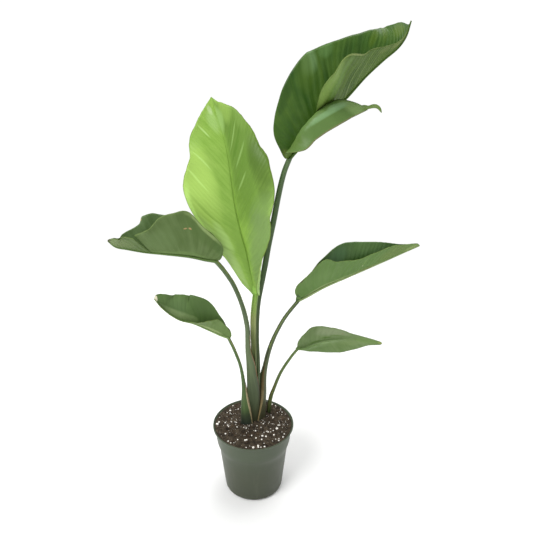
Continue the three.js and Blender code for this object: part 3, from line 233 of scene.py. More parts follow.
# Leaf blades. midrib: [x, y, z] from the stalk to the tip. facing: direction of the upper side at
# shares of the midrib. rib: radius of the midrib at its base and tip. A half is the lamina on one
# side of the midrib (side 1 is tangent x facing). veins: [share of the midrib, length, angle to it].
# fold: [share, rise beside the midrib, rise at the margin, distance where the turn starts, and ends],
# in degrees and mm. wave: [height, length, phase] of the margin. bow: how far the veins curve, at the
# start and end of the half. span: the part of the midrib that a torn half keeps. turns_along_vein: the
# fold's shares are those of the vein's foot. chart_shift: where the half starts on the UV map. curl: a
# hooked strip at the tip of a torn half, with its width at shares of its length.
BLADES = [
    dict(
        name="top_right",
        midrib=[
            (68, 38, 682), (84, 42, 702), (110, 47, 729), (137, 52, 757), (166, 57, 784), (196, 63, 816),
            (227, 70, 843), (251, 76, 862), (264, 80, 880), (271, 84, 904),
        ],
        facing=[
            (0, -0.7, -0.45, 0.55), (0.3, -0.62, -0.5, 0.6), (0.7, -0.55, -0.5, 0.66),
            (1, -0.8, -0.3, 0.5),
        ],
        rib=(4.4, 1.2),
        halves=[dict(
            side=-1,
            veins=[
                (0, 8, 140), (0.03, 24, 112), (0.06, 46, 96), (0.1, 69, 84), (0.16, 94, 71),
                (0.24, 116, 60), (0.32, 114, 54), (0.4, 102, 49), (0.5, 91.5, 44), (0.55, 86, 42),
                (0.6, 81, 40), (0.65, 81, 38), (0.7, 80, 36), (0.75, 74, 33.5), (0.8, 61, 31),
                (0.88, 37, 27), (0.94, 14, 23), (0.97, 4, 20), (1, 1, 18),
            ],
            fold=[(0, 62, 50, 0, 80), (0.4, 62, 56, 0, 90), (1, 40, 30, 0, 60)], wave=(0.6, 60, 0),
        ), dict(
            side=1, span=(0.27, 1),
            veins=[
                (0.27, 104, 70), (0.29, 123, 62), (0.31, 130, 57), (0.34, 119, 52), (0.42, 92, 47),
                (0.5, 78, 44), (0.6, 58, 40), (0.7, 38, 36), (0.8, 22, 31), (0.88, 13, 27), (0.94, 8, 23),
                (1, 1, 18),
            ],
            bow=(0.6, 0.2), fold=[(0, 62, 62, 0, 60), (1, 60, 60, 0, 60)], wave=(1.6, 50, 1),
        ), dict(
            side=1, span=(0, 0.262), turns_along_vein=True, chart_shift=LOBE_CHART,
            veins=[
                (0, 8, 130), (0.02, 24, 112), (0.06, 58, 94), (0.12, 77, 80), (0.18, 97.5, 66),
                (0.22, 100, 58), (0.245, 100, 54), (0.262, 104, 51),
            ],
            bow=(0, -0.6),
            fold=[
                (0, 62, 60, 10, 40), (0.05, 62, 0, 12, 42), (0.12, 62, -50, 32, 58),
                (0.18, 62, -56, 34, 60), (0.262, 62, -60, 18, 44),
            ],
            wave=(0, 50, 1),
            curl=dict(
                path=[
                    (185, 26.4, 766), (191.6, 26, 767.1), (198.3, 25.8, 767.3), (203.8, 26, 768.7),
                    (208.9, 26.4, 769.1), (214, 27, 767.5), (218, 27.6, 763.8), (221, 28.4, 758.8),
                ],
                facing=[(0, 0, -0.75, 0.66), (1, 0, -0.75, 0.66)],
                width=[
                    (0, 9), (0.16, 9.6), (0.33, 6.4), (0.47, 7.2), (0.6, 8), (0.72, 7), (0.86, 4.8),
                    (1, 1.2),
                ],
            ),
        )],
    ),
    dict(
        name="new",
        midrib=[
            (7, -8, 443), (-2, -12, 487), (-9, -16, 529), (-17, -19, 562), (-26, -22, 608),
            (-32, -22, 658), (-38, -18, 703), (-47, -12, 737), (-57, -6, 768), (-62, -2, 784),
        ],
        facing=[(0, -0.25, -0.95, 0.1), (0.5, -0.25, -0.95, 0.15), (1, -0.1, -0.9, 0.3)], rib=(5, 1.2),
        halves=[dict(
            side=-1,
            veins=[
                (0, 6, 150), (0.02, 9, 95), (0.06, 23, 66), (0.12, 44, 52), (0.18, 72, 46),
                (0.24, 102, 43), (0.3, 130, 40), (0.36, 129, 38), (0.42, 119, 37), (0.5, 108, 35),
                (0.58, 106, 33), (0.66, 91, 31), (0.74, 71, 29), (0.84, 45, 26), (0.92, 23, 23),
                (1, 1, 20),
            ],
            fold=[(0, 20, 10, 0, 60), (0.4, 22, 5, 0, 80), (1, 10, 0, 0, 60)], wave=(3, 80, 0),
        ), dict(
            side=1,
            veins=[
                (0, 10, 105), (0.02, 25, 80), (0.06, 36, 62), (0.12, 61, 52), (0.2, 110, 45),
                (0.28, 130, 41), (0.36, 130, 38), (0.42, 125, 37), (0.5, 108, 35), (0.56, 101, 33),
                (0.62, 92, 32), (0.68, 83, 30), (0.76, 66, 28), (0.84, 44, 26), (0.92, 21, 23),
                (1, 1, 20),
            ],
            fold=[
                (0, 35, 120, 8, 20), (0.04, 30, 120, 9, 24), (0.1, 26, 150, 14, 34),
                (0.18, 30, 150, 26, 48), (0.3, 32, 150, 50, 76), (0.4, 28, 110, 72, 96),
                (0.48, 28, 15, 60, 90), (1, 20, 0, 0, 60),
            ],
            wave=(3, 80, 2),
        )],
    ),
    dict(
        name="left_upper",
        midrib=[
            (-61, -32, 514), (-76, -36, 519), (-105, -44, 528), (-148, -54, 536), (-177, -60, 541),
            (-204, -66, 548), (-221, -70, 553), (-232, -72, 564),
        ],
        facing=[(0, 0.1, -0.25, 1), (1, 0, -0.25, 1)], rib=(3.6, 1),
        halves=[dict(
            side=-1, span=(0, 0.6),
            veins=[
                (0, 8, 135), (0.015, 16, 120), (0.05, 36, 108), (0.12, 54, 92), (0.18, 73, 82),
                (0.22, 101, 76), (0.28, 100, 70), (0.34, 91, 64), (0.42, 73, 58), (0.5, 62, 53),
                (0.6, 48, 46),
            ],
            fold=[(0, 80, 80, 0, 80), (1, 72, 72, 0, 80)], wave=(1.5, 46, 0),
        ), dict(
            side=-1, span=(0.61, 1),
            veins=[
                (0.61, 46, 46), (0.66, 54, 43), (0.71, 52, 41), (0.78, 44, 38), (0.84, 34, 34),
                (0.9, 22, 31), (0.96, 10, 28), (1, 1, 20),
            ],
            fold=[(0, 72, 70, 0, 40), (1, 64, 60, 0, 30)], wave=(1, 30, 2),
        ), dict(
            side=1,
            veins=[
                (0, 10, 130), (0.05, 34, 106), (0.12, 52, 90), (0.22, 66, 74), (0.32, 72, 64),
                (0.4, 78, 58), (0.46, 76, 54), (0.5, 72, 52), (0.54, 60, 50), (0.64, 46, 45),
                (0.76, 33, 38), (0.88, 21, 32), (0.96, 8, 28), (1, 1, 20),
            ],
            fold=[(0, 96, 98, 0, 80), (0.3, 88, 86, 0, 80), (0.5, 62, 60, 0, 80), (1, 60, 60, 0, 80)],
            wave=(1.5, 40, 1),
        )],
    ),
    dict(
        name="left_lower",
        midrib=[
            (-45, -14, 354), (-55, -17, 360), (-80, -23, 376), (-106, -29, 392), (-133, -34, 403),
            (-159, -38, 426), (-172, -40, 446),
        ],
        facing=[(0, 0.1, -0.35, 1), (1, 0.1, -0.35, 1)], rib=(2.8, 0.9),
        halves=[dict(
            side=-1,
            veins=[
                (0, 5, 140), (0.02, 10, 120), (0.06, 18, 104), (0.12, 27, 86), (0.2, 37, 74),
                (0.28, 36, 64), (0.36, 34, 58), (0.44, 31, 54), (0.6, 28, 46), (0.8, 18, 38),
                (0.95, 6, 30), (1, 1, 20),
            ],
            fold=[
                (0, 92, 96, 0, 30), (0.25, 84, 84, 0, 30), (0.36, 72, 70, 0, 30), (0.48, 50, 42, 0, 30),
                (1, 46, 38, 0, 30),
            ],
            wave=(1.5, 34, 0),
        ), dict(
            side=1,
            veins=[
                (0, 5, 140), (0.06, 14, 104), (0.12, 24, 88), (0.2, 39, 74), (0.28, 54, 65),
                (0.36, 58, 59), (0.44, 59, 54), (0.52, 57, 50), (0.6, 51, 46), (0.7, 43, 42),
                (0.8, 34, 38), (0.9, 21, 33), (0.96, 12, 30), (1, 1, 20),
            ],
            fold=[(0, 82, 86, 0, 30), (0.5, 60, 55, 0, 30), (1, 40, 30, 0, 30)], wave=(1.5, 38, 1),
        )],
    ),
    dict(
        name="right_upper",
        midrib=[
            (89, 34, 409), (108, 38, 419), (141, 45, 435), (179, 53, 449), (217, 61, 463), (260, 70, 479),
            (299, 78, 494), (328, 84, 505),
        ],
        facing=[(0, -0.25, -0.3, 1), (1, -0.3, -0.3, 1)], rib=(3.4, 1),
        halves=[dict(
            side=1,
            veins=[
                (0, 6, 140), (0.02, 11, 120), (0.05, 34, 106), (0.1, 48, 92), (0.16, 62, 81),
                (0.2, 73, 75), (0.25, 61, 69), (0.3, 54, 64), (0.38, 46, 58), (0.46, 44, 54),
                (0.54, 45, 49), (0.6, 50, 46), (0.68, 45, 42), (0.76, 38, 38), (0.85, 28, 34),
                (0.95, 12, 28), (1, 1, 20),
            ],
            fold=[(0, 80, 80, 0, 60), (1, 75, 75, 0, 80)], wave=(1.5, 50, 0),
        ), dict(
            side=-1,
            veins=[
                (0, 6, 140), (0.05, 22, 106), (0.1, 34, 92), (0.17, 50, 80), (0.24, 61, 70),
                (0.32, 72, 62), (0.4, 70, 57), (0.5, 61, 51), (0.6, 52, 46), (0.68, 42, 42),
                (0.76, 32, 38), (0.85, 22, 34), (0.95, 12, 28), (1, 1, 20),
            ],
            fold=[(0, 100, 104, 0, 60), (0.2, 86, 84, 0, 60), (0.4, 64, 54, 0, 60), (1, 60, 50, 0, 80)],
            wave=(1.5, 44, 2),
        )],
    ),
    dict(
        name="right_lower",
        midrib=[
            (90, 44, 296), (106, 46, 300), (126, 47, 308), (150, 47, 315), (178, 46, 319), (206, 44, 318),
            (234, 42, 314), (260, 40, 312),
        ],
        facing=[(0, -0.15, -0.45, 1), (1, 0.1, -0.45, 1)], rib=(2.6, 0.9),
        halves=[dict(
            side=1,
            veins=[
                (0, 5, 140), (0.03, 10, 110), (0.08, 15, 92), (0.16, 25, 76), (0.28, 36, 64),
                (0.42, 35, 54), (0.6, 27, 45), (0.8, 12, 38), (0.95, 7, 30), (1, 1, 20),
            ],
            fold=[
                (0, 45, -60, 4, 20), (0.4, 30, -50, 4, 24), (0.6, -10, -30, 0, 24), (1, -20, -30, 0, 30),
            ],
            wave=(1, 40, 0),
        ), dict(
            side=-1,
            veins=[
                (0, 5, 140), (0.02, 6, 118), (0.05, 16, 102), (0.09, 23, 90), (0.13, 27, 81),
                (0.18, 35, 74), (0.25, 34, 66), (0.34, 29, 59), (0.44, 24, 53), (0.6, 16, 45),
                (0.8, 12, 38), (0.95, 6, 30), (1, 1, 20),
            ],
            fold=[(0, 60, 40, 0, 40), (1, 40, 30, 0, 40)], wave=(1, 36, 1),
        )],
    ),
]

# ---------------------------------------------------------------------------------------- curves


def clamp(value, low, high):
    return max(low, min(high, value))


def lerp(a, b, share):
    return a + (b - a) * share


def ease(start, end, value):
    t = clamp((value - start) / (end - start), 0, 1)
    return t * t * (3 - 2 * t)


def through(knots, at):
    """Smooth values through knots (position, value, value, ...), at a position."""
    last = len(knots) - 1
    i = 0
    while i < last - 1 and at > knots[i + 1][0]:
        i += 1
    left, right = knots[i], knots[i + 1]
    before = knots[i - 1] if i > 0 else None
    after = knots[i + 2] if i + 2 <= last else None
    width = right[0] - left[0]
    t = clamp((at - left[0]) / width, 0, 1)
    weights = (2 * t**3 - 3 * t**2 + 1, t**3 - 2 * t**2 + t, 3 * t**2 - 2 * t**3, t**3 - t**2)
    values = []
    for c in range(1, len(left)):
        straight = (right[c] - left[c]) / width
        slope_left = (right[c] - before[c]) / (right[0] - before[0]) if before else straight
        slope_right = (after[c] - left[c]) / (after[0] - left[0]) if after else straight
        values.append(
            weights[0] * left[c]
            + weights[1] * width * slope_left
            + weights[2] * right[c]
            + weights[3] * width * slope_right
        )
    return values


class Spine:
    """A curve through points, with the direction that its upper side faces."""

    def __init__(self, points, facing):
        lengths = [0.0]
        for start, end in zip(points, points[1:]):
            lengths.append(lengths[-1] + (Vector(end) - Vector(start)).length)
        self.length = lengths[-1]
        self.knots = [(far / self.length, *point) for far, point in zip(lengths, points)]
        self.facing = facing
        self.frames = {}

    def frame(self, distance):
        """Point, upper direction and sideways direction at a distance along the curve."""
        key = round(distance, 3)
        if key in self.frames:
            return self.frames[key]
        u = clamp(distance / self.length, 0, 1)
        point = Vector(through(self.knots, u))
        ahead = Vector(through(self.knots, min(1, u + 1e-3)))
        behind = Vector(through(self.knots, max(0, u - 1e-3)))
        tangent = (ahead - behind).normalized()
        up = Vector(through(self.facing, u))
        up = (up - tangent * up.dot(tangent)).normalized()
        point = point + tangent * (distance - u * self.length)
        self.frames[key] = (point, up, tangent.cross(up))
        return self.frames[key]


# ---------------------------------------------------------------------------------------- pieces


def object_from(bm, name, materials=()):
    mesh = bpy.data.meshes.new(name)
    bm.to_mesh(mesh)
    bm.free()
    for material in materials:
        mesh.materials.append(material)
    made = bpy.data.objects.new(name, mesh)
    bpy.context.scene.collection.objects.link(made)
    return made


def piece_from(bm, name, materials, slot, *nodes):
    """A finished piece that rides with the plant and stands for these solids."""
    for face in bm.faces:
        face.smooth = True
    piece = object_from(bm, name, materials)
    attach(piece, "root")
    if nodes:
        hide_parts(*nodes)
    return piece


def faces_of(verts):
    return list({face for vert in verts for face in vert.link_faces})


def lay_grid(bm, along, across, place, chart):
    """A sheet of faces, and the two shares of each of its corners.

    place(a, b) gives a corner in millimetres and chart(a, b) its spot on the UV map, a and b from 0
    to 1."""
    uv = bm.loops.layers.uv.verify()
    made = bmesh.ops.create_grid(bm, x_segments=along, y_segments=across, size=1)["verts"]
    shares = {vert: ((vert.co.x + 1) / 2, (vert.co.y + 1) / 2) for vert in made}
    for face in faces_of(made):
        for loop in face.loops:
            loop[uv].uv = chart(*shares[loop.vert])
    for vert, (a, b) in shares.items():
        vert.co = Vector(place(a, b)) * MM
    return shares


def lay_tube(bm, spine, around, place):
    """A rolled sheet along a spine, with its seam merged, its ends filled and its faces outwards."""
    def chart(a, b):
        return a * spine.length / 100, b

    made = list(lay_grid(bm, round(spine.length / SECTION_STEP), around, place, chart))
    bmesh.ops.remove_doubles(bm, verts=made, dist=MERGE_DISTANCE)
    alive = [vert for vert in made if vert.is_valid]
    border = {edge for vert in alive for edge in vert.link_edges if edge.is_boundary}
    bmesh.ops.holes_fill(bm, edges=list(border), sides=0)
    bmesh.ops.recalc_face_normals(bm, faces=faces_of(alive))


# ---------------------------------------------------------------------------------------- leaves


def lamina_point(spine, half, x, w, u, t):
    """A point of a half blade: x along the midrib, w across it, u its vein's foot, t the share along
    that vein."""
    point, up, across = spine.frame(x)
    at = u if "turns_along_vein" in half else clamp(x / spine.length, 0, 1)
    inner, outer, start, end = through(half["fold"], at)
    sideways = rise = 0.0
    for i in range(FOLD_STEPS):
        angle = math.radians(lerp(inner, outer, ease(start, end, w * (i + 0.5) / FOLD_STEPS)))
        sideways += math.cos(angle) * w / FOLD_STEPS
        rise += math.sin(angle) * w / FOLD_STEPS
    height, wavelength, phase = half["wave"]
    lift = height * t * t * min(1, w / WAVE_ROOM) * math.sin(2 * math.pi * x / wavelength + phase)
    angle = math.radians(lerp(inner, outer, ease(start, end, w)))
    side = half["side"] * (sideways - lift * math.sin(angle))
    return point + across * side + up * (rise + lift * math.cos(angle))


def lay_half(bm, spine, half):
    """One half of a blade with its pleats and ragged, waved margin, its upper side outwards."""
    start, end = half.get("span", (0, 1))
    bow_start, bow_end = half.get("bow", (0.1, 0.1))
    rows = round((end - start) * spine.length / FACE_LENGTH)
    side = half["side"]

    def foot(a):
        return start + (end - start) * (a if start > 0 else a**FOOT_CROWDING)

    def vein(u):
        length, degrees = through(half["veins"], u)
        ragged = sum(
            height * noise.noise(Vector((u * spine.length / lump, side * lane, spine.length)))
            for lump, height, lane in RAGGED
        )
        length += ragged * min(1, length / EVEN_VEIN)
        return max(SHORTEST_VEIN, length), math.radians(degrees)

    veins = {}

    def place(a, b):
        u = foot(a)
        if a not in veins:
            veins[a] = vein(u)
        length, angle = veins[a]
        bow = lerp(bow_start, bow_end, (u - start) / (end - start))
        x = u * spine.length + length * (math.cos(angle) * b + bow * (b * b - b))
        return lamina_point(spine, half, x, length * math.sin(angle) * b, u, b)

    def chart(a, b):
        return foot(a) * spine.length / 100 + half.get("chart_shift", 0), side * b

    shares = lay_grid(bm, rows, FACES_ACROSS, place, chart)
    made = list(shares)
    bm.normal_update()
    _, up, _ = spine.frame(foot(shares[made[len(made) // 2]][0]) * spine.length)
    total = sum((face.normal for vert in made for face in vert.link_faces), Vector())
    if total.dot(up) < 0:
        bmesh.ops.reverse_faces(bm, faces=faces_of(made))
        bm.normal_update()
    for vert, (a, b) in shares.items():
        along = foot(a) * spine.length
        fade = ease(0.02, 0.2, b) * (1 - 0.6 * ease(0.85, 1, b)) * min(1, veins[a][0] / FLAT_VEIN)
        pleat = math.sin(2 * math.pi * along / PLEAT + 1.7 * math.sin(along / 23))
        fine = noise.noise(Vector((along / FINE_LUMP, b * 1.2, side)))
        soft = noise.noise(Vector((along / SOFT_LUMP, b * 2.3, 5 + side)))
        height = PLEAT_HEIGHT * pleat + FINE_HEIGHT * fine + SOFT_HEIGHT * soft
        vert.co += vert.normal * MM * fade * height
        for axis in range(3):
            low, high = cad_box[0][axis], cad_box[1][axis]
            vert.co[axis] = clamp(vert.co[axis], low + BOX_ROOM, high - BOX_ROOM)


def lay_curl(bm, curl, foot):
    """The hooked strip at the tip of a torn half, a little cupped."""
    spine = Spine(curl["path"], curl["facing"])

    def place(a, b):
        point, up, across = spine.frame(a * spine.length)
        half = through(curl["width"], a)[0] / 2
        return point + across * half * (2 * b - 1) + up * 0.12 * half * (2 * b - 1) ** 2

    def chart(a, b):
        return foot + 0.02 * b, 0.7 + 0.28 * a

    lay_grid(bm, 24, 6, place, chart)


def lay_midrib(bm, blade, spine):
    """The midrib: a rounded keel below the blade with a channel on its upper side."""
    base, tip = blade["rib"]

    def place(a, b):
        x = lerp(-MIDRIB_OVERLAP, spine.length, a)
        point, up, across = spine.frame(x)
        radius = lerp(base, tip, clamp(x / spine.length, 0, 1) ** MIDRIB_TAPER)
        sunk = radius * MIDRIB_SUNK * ease(0, SINKING_LENGTH, x)
        if b < MIDRIB_ARC:
            angle = (2 * b / MIDRIB_ARC - 1) * MIDRIB_REACH
            away, aside = radius * math.cos(angle), radius * math.sin(angle)
        else:
            angle = math.radians(90 - 180 * (b - MIDRIB_ARC) / (1 - MIDRIB_ARC))
            channel = MIDRIB_CHANNEL * radius * (1 - 0.6 * a)
            away = radius * math.cos(MIDRIB_REACH) + channel * math.cos(angle)
            aside = radius * math.sin(MIDRIB_REACH) * math.sin(angle)
        return point - up * (away + sunk) + across * aside

    lay_tube(bm, spine, FACES_ROUND_MIDRIB, place)


# ---------------------------------------------------------------------------------------- stalks


def clump_point(height, along, front):
    x, y = through(CLUMP_AXIS, height)
    x += along * math.cos(FAN_TURN) + front * math.sin(FAN_TURN)
    y += along * math.sin(FAN_TURN) - front * math.cos(FAN_TURN)
    return Vector((x, y, height))


def oval_point(oval, height, angle):
    offset, a, b = through(oval, height)
    return clump_point(height, offset + a * math.cos(angle), b * math.sin(angle))


def sheath_lining(sheath, height, angle):
    """A point of the inner side of a sheath, where a ray from the middle of its outer oval meets it."""
    middle, a, b = through(OVALS[sheath["outside"]], height)
    offset, inner_a, inner_b = through(OVALS[sheath["inside"]], height)
    p, q = a * math.cos(angle), b * math.sin(angle)
    shift, reach_a, reach_b = offset - middle, inner_a + SHEATH_CLEARANCE, inner_b + SHEATH_CLEARANCE
    square = (p / reach_a) ** 2 + (q / reach_b) ** 2
    half = p * shift / reach_a**2
    root = math.sqrt(max(0, half**2 - square * ((shift / reach_a) ** 2 - 1)))
    share = clamp((half + root) / square, 0.1, 1 - SHEATH_EDGE / math.hypot(p, q))
    return clump_point(height, middle + share * p, share * q)


def hand_of(sheath):
    """Which way round a section is laid: from the back margin or from the front one."""
    return -1 if sheath and sheath["spine"] == 180 else 1


def sheath_turn(sheath, height, share):
    """The angle at a share of the way from a sheath's back margin to its front margin."""
    back = through(sheath["back"], height)[0]
    front = through(sheath["front"], height)[0]
    return math.radians(sheath["spine"] + hand_of(sheath) * (share * (front + back) - back))


def stalk_point(stalk, spine, distance, b):
    """A point of a stalk's section: the outer arc, and then back along the groove or the lining."""
    point, up, across = spine.frame(distance)
    radius = through(stalk["radius"], clamp(distance / spine.length, 0, 1))[0]
    sheath = stalk.get("sheath")
    hand = hand_of(sheath)
    height = point.z
    wrapped = 1 - ease(*sheath["closes"], height) if sheath else 0
    if b <= OUTER_SHARE:
        share = b / OUTER_SHARE
        angle = (2 * share - 1) * STALK_REACH
        free = point - up * radius * math.cos(angle)
        free += across * hand * radius * math.sin(angle)
        if wrapped:
            turn = sheath_turn(sheath, height, share)
            return free.lerp(oval_point(OVALS[sheath["outside"]], height, turn), wrapped)
        return free
    back = (b - OUTER_SHARE) / (1 - OUTER_SHARE)
    angle = math.radians(90 - 180 * back)
    away = radius * math.cos(STALK_REACH) + GROOVE_DEPTH * radius * math.cos(angle)
    side = radius * (GROOVE_HALF_WIDTH + 0.11 * abs(math.sin(angle)) ** 3) * math.sin(angle)
    free = point - up * away + across * hand * side
    if wrapped:
        turn = sheath_turn(sheath, height, 1 - back)
        return free.lerp(sheath_lining(sheath, height, turn), wrapped)
    return free


def lay_stalk(bm, stalk, spine):
    def place(a, b):
        b = b % 1
        spot = stalk_point(stalk, spine, a * spine.length, b)
        ridge = noise.noise(Vector((b * 40, a * spine.length / 120, spine.length)))
        swell = noise.noise(Vector((b * 3, a * spine.length / 30, spine.length)))
        centre, _, _ = spine.frame(a * spine.length)
        near = math.exp(-(((b - OUTER_SHARE) / FRILL_WIDTH) ** 2)) if "sheath" in stalk else 0
        frill = FRILL_HEIGHT * near * noise.noise(Vector((spot.z / 3.1, 4, spine.length)))
        lift = RIDGE_HEIGHT * ridge + SWELL_HEIGHT * swell + frill
        return spot + (spot - centre).normalized() * lift

    lay_tube(bm, spine, FACES_ROUND_STALK, place)


# -------------------------------------------------------------------------------------- finishes

ROOM_SHEEN = 0.03  # what a facing leaf adds of the white room to its own colour
ROOM_LIGHT = 1.1  # how much light falls on it
LEAF_SHINE = 0.2
EDGE_SHADE = 0.8  # of a cut edge's colour, in its darker strands
KEEL_SHARE = MIDRIB_ARC / 2  # of a midrib's section, where its keel is


def linear(value):
    """A colour channel from 0 to 255, as light."""
    value /= 255
    return value / 12.92 if value < 0.04045 else ((value + 0.055) / 1.055) ** 2.4


def paint(red, green, blue):
    """A colour from 0 to 255, as the light that it gives back."""
    return (linear(red), linear(green), linear(blue), 1)


def seen(red, green, blue):
    """The paint that shows this colour in the white room."""
    return (*[max(0.004, (linear(c) - ROOM_SHEEN) / ROOM_LIGHT) for c in (red, green, blue)], 1)


class Finish:
    """A node material, built up by short calls."""

    def __init__(self, name):
        self.material = bpy.data.materials.new(name)
        self.material.use_nodes = True
        self.tree = self.material.node_tree
        self.tree.nodes.clear()
        self.shader = self.tree.nodes.new("ShaderNodeBsdfPrincipled")
        output = self.tree.nodes.new("ShaderNodeOutputMaterial")
        self.tree.links.new(self.shader.outputs[0], output.inputs["Surface"])

    def set(self, socket, value):
        if isinstance(value, bpy.types.NodeSocket):
            self.tree.links.new(value, socket)
        else:
            socket.default_value = value

    def node(self, kind, inputs=(), **settings):
        made = self.tree.nodes.new("ShaderNode" + kind)
        for key, value in settings.items():
            setattr(made, key, value)
        for key, value in dict(inputs).items():
            self.set(made.inputs[key], value)
        return made

    def math(self, operation, a, b=0.0, c=0.0):
        return self.node("Math", {0: a, 1: b, 2: c}, operation=operation).outputs[0]

    def times(self, a, b):
        return self.math("MULTIPLY", a, b)

    def sway(self, value, amount, base=0.0):
        """A base, moved up and down by this much of a noise value."""
        return self.math("MULTIPLY_ADD", self.math("SUBTRACT", value, 0.5), amount, base)

    def steps(self, value, low, high, to_low=0.0, to_high=1.0, way="SMOOTHSTEP"):
        """A value carried from one range to another, held at its ends."""
        inputs = {"Value": value, "From Min": low, "From Max": high, "To Min": to_low, "To Max": to_high}
        return self.node("MapRange", inputs, interpolation_type=way).outputs["Result"]

    def mix(self, share, a, b, way="MIX"):
        made = self.node("Mix", data_type="RGBA", blend_type=way)
        self.set(made.inputs[0], share)
        self.set(made.inputs[6], a)
        self.set(made.inputs[7], b)
        return made.outputs[2]

    def climb(self, height, stops):
        """Colours at rising heights in millimetres: [height, colour]."""
        colour = stops[0][1]
        for (low, _), (high, tint) in zip(stops, stops[1:]):
            colour = self.mix(self.steps(height, low * MM, high * MM), colour, tint)
        return colour

    def own(self):
        """Coordinates in metres on the piece."""
        return self.node("TexCoord").outputs["Object"]

    def height(self):
        return self.node("SeparateXYZ", {0: self.own()}).outputs[2]

    def chart(self):
        """The piece's own UV map, as two numbers."""
        parts = self.node("SeparateXYZ", {0: self.node("TexCoord").outputs["UV"]})
        return parts.outputs[0], parts.outputs[1]

    def noise(self, vector, scale, detail=3.0, rough=0.5):
        inputs = {"Vector": vector, "Scale": scale, "Detail": detail, "Roughness": rough}
        return self.node("TexNoise", inputs).outputs[0]

    def strands(self, x, x_scale, y, y_scale, lane, detail=2.0, rough=0.5):
        """Noise drawn out along a UV map, with a scale for each way."""
        spot = {0: self.times(x, x_scale), 1: self.times(y, y_scale), 2: lane}
        return self.noise(self.node("CombineXYZ", spot).outputs[0], 1, detail, rough)

    def drawn_out(self, scale, detail, rough=0.5):
        """Noise with its own scale along each axis of the piece."""
        spot = self.node("Mapping", {"Vector": self.own(), "Scale": scale}).outputs[0]
        return self.noise(spot, 1, detail, rough)

    def cells(self, vector, scale):
        return self.node("TexVoronoi", {"Vector": vector, "Scale": scale}).outputs["Distance"]

    def finished(self, colour, rough, relief, shine=0.5):
        """Joins colour, roughness and bumps to the shader. relief: [height, millimetres, strength]."""
        self.set(self.shader.inputs["Base Color"], colour)
        self.set(self.shader.inputs["Roughness"], rough)
        self.set(self.shader.inputs["Specular IOR Level"], shine)
        under = {}
        for height, depth, strength in relief:
            inputs = {"Height": height, "Distance": depth * MM, "Strength": strength, **under}
            under = {"Normal": self.node("Bump", inputs).outputs[0]}
        self.set(self.shader.inputs["Normal"], under["Normal"])
        return self.material


def leaf_finish(name, look, seed, dullness):
    """A leaf face: fine veins along each vein's line, soft pleats, a paler midrib and a thin margin.

    The UV map holds the vein's foot along the midrib in decimetres, and the share along the vein,
    negative on side -1."""
    f = Finish(name)
    foot, along = f.chart()

    def far_from(at, out, half_foot, half_out):
        """Nothing in the middle of an oval on the UV map, and 1 at its border."""
        x = f.math("MULTIPLY_ADD", foot, 1 / half_foot, -at / half_foot)
        y = f.math("MULTIPLY_ADD", along, 1 / half_out, -out / half_out)
        return f.math("MULTIPLY_ADD", x, x, f.times(y, y))

    reach = f.math("ABSOLUTE", along)
    lane = f.math("MULTIPLY_ADD", f.math("SIGN", along), 0.31, seed)
    stripe = look.get("stripe", 1.0)
    fine = f.strands(foot, 62, reach, 1.5, lane)
    line = f.strands(foot, 150, reach, 1, lane, 1)
    pleat = f.strands(foot, 13, reach, 1.1, lane)
    cloud = f.noise(f.own(), 19, 3, 0.55)
    veiny = 0.5  # 0 where the dark colour shows, 1 where the light one does
    for part, amount in ((fine, 0.5 * stripe), (pleat, 0.75), (cloud, 1.1), (line, 0.26 * stripe)):
        veiny = f.sway(part, amount, veiny)
    dark, light, rib, margin = [seen(*look[key]) for key in ("dark", "light", "rib", "margin")]
    colour = f.mix(f.steps(veiny, 0.1, 0.9, way="LINEAR"), dark, light)
    # Soft patches: the leaf's own colours, and on some leaves painted light, shade, sheen and highlights,
    # noted in the tables.
    for *oval, tint, strength in look.get("patches", ()):
        soft = f.sway(fine, 0.5, f.sway(cloud, 0.9, far_from(*oval)))
        colour = f.mix(f.steps(soft, 1.25, 0.1, 0, strength), colour, seen(*tint))
    colour = f.mix(f.steps(reach, 0.09, 0.0, 0, look.get("rib_share", 0.4)), colour, rib)
    speckle = f.cells(f.own(), 210)
    worn = f.times(f.steps(speckle, 0.16, 0.05), f.steps(f.noise(f.own(), 31, 2), 0.6, 0.72))
    colour = f.mix(f.times(worn, 0.25), colour, paint(140, 130, 84))
    for *oval, tint in look.get("marks", ()):
        torn = f.sway(f.noise(f.own(), 420, 3), 1.4, far_from(*oval))
        colour = f.mix(f.steps(torn, 1.1, 0.5), colour, paint(*tint))
    rim = f.steps(f.sway(fine, 0.02, reach), 0.984, 0.997)
    colour = f.mix(f.times(rim, 0.6), colour, margin)
    rough = f.steps(f.sway(fine, 0.4, cloud), 0.3, 0.8, dullness - 0.06, dullness + 0.09)
    relief = [(fine, 0.2, 0.8), (line, 0.06, 0.7), (f.noise(f.own(), 900, 2), 0.03, 0.4)]
    return f.finished(colour, rough, relief, LEAF_SHINE)


def rib_finish(name, pale, deep, keel, seed):
    """The midrib: long fine strands, and the colour of its keel, which faces away from the blade."""
    f = Finish(name)
    far, round_it = f.chart()
    strand = f.strands(far, 2, round_it, 46, seed)
    cloud = f.noise(f.own(), 40, 2)
    colour = f.mix(f.steps(f.sway(strand, 0.9, cloud), 0.25, 0.75), deep, pale)
    off_keel = f.math("ABSOLUTE", f.math("SUBTRACT", f.sway(strand, 0.06, round_it), KEEL_SHARE))
    colour = f.mix(f.steps(off_keel, 0.12, 0.03), colour, keel)
    rough = f.steps(strand, 0.3, 0.7, 0.42, 0.56)
    return f.finished(colour, rough, [(strand, 0.12, 0.8)], LEAF_SHINE)


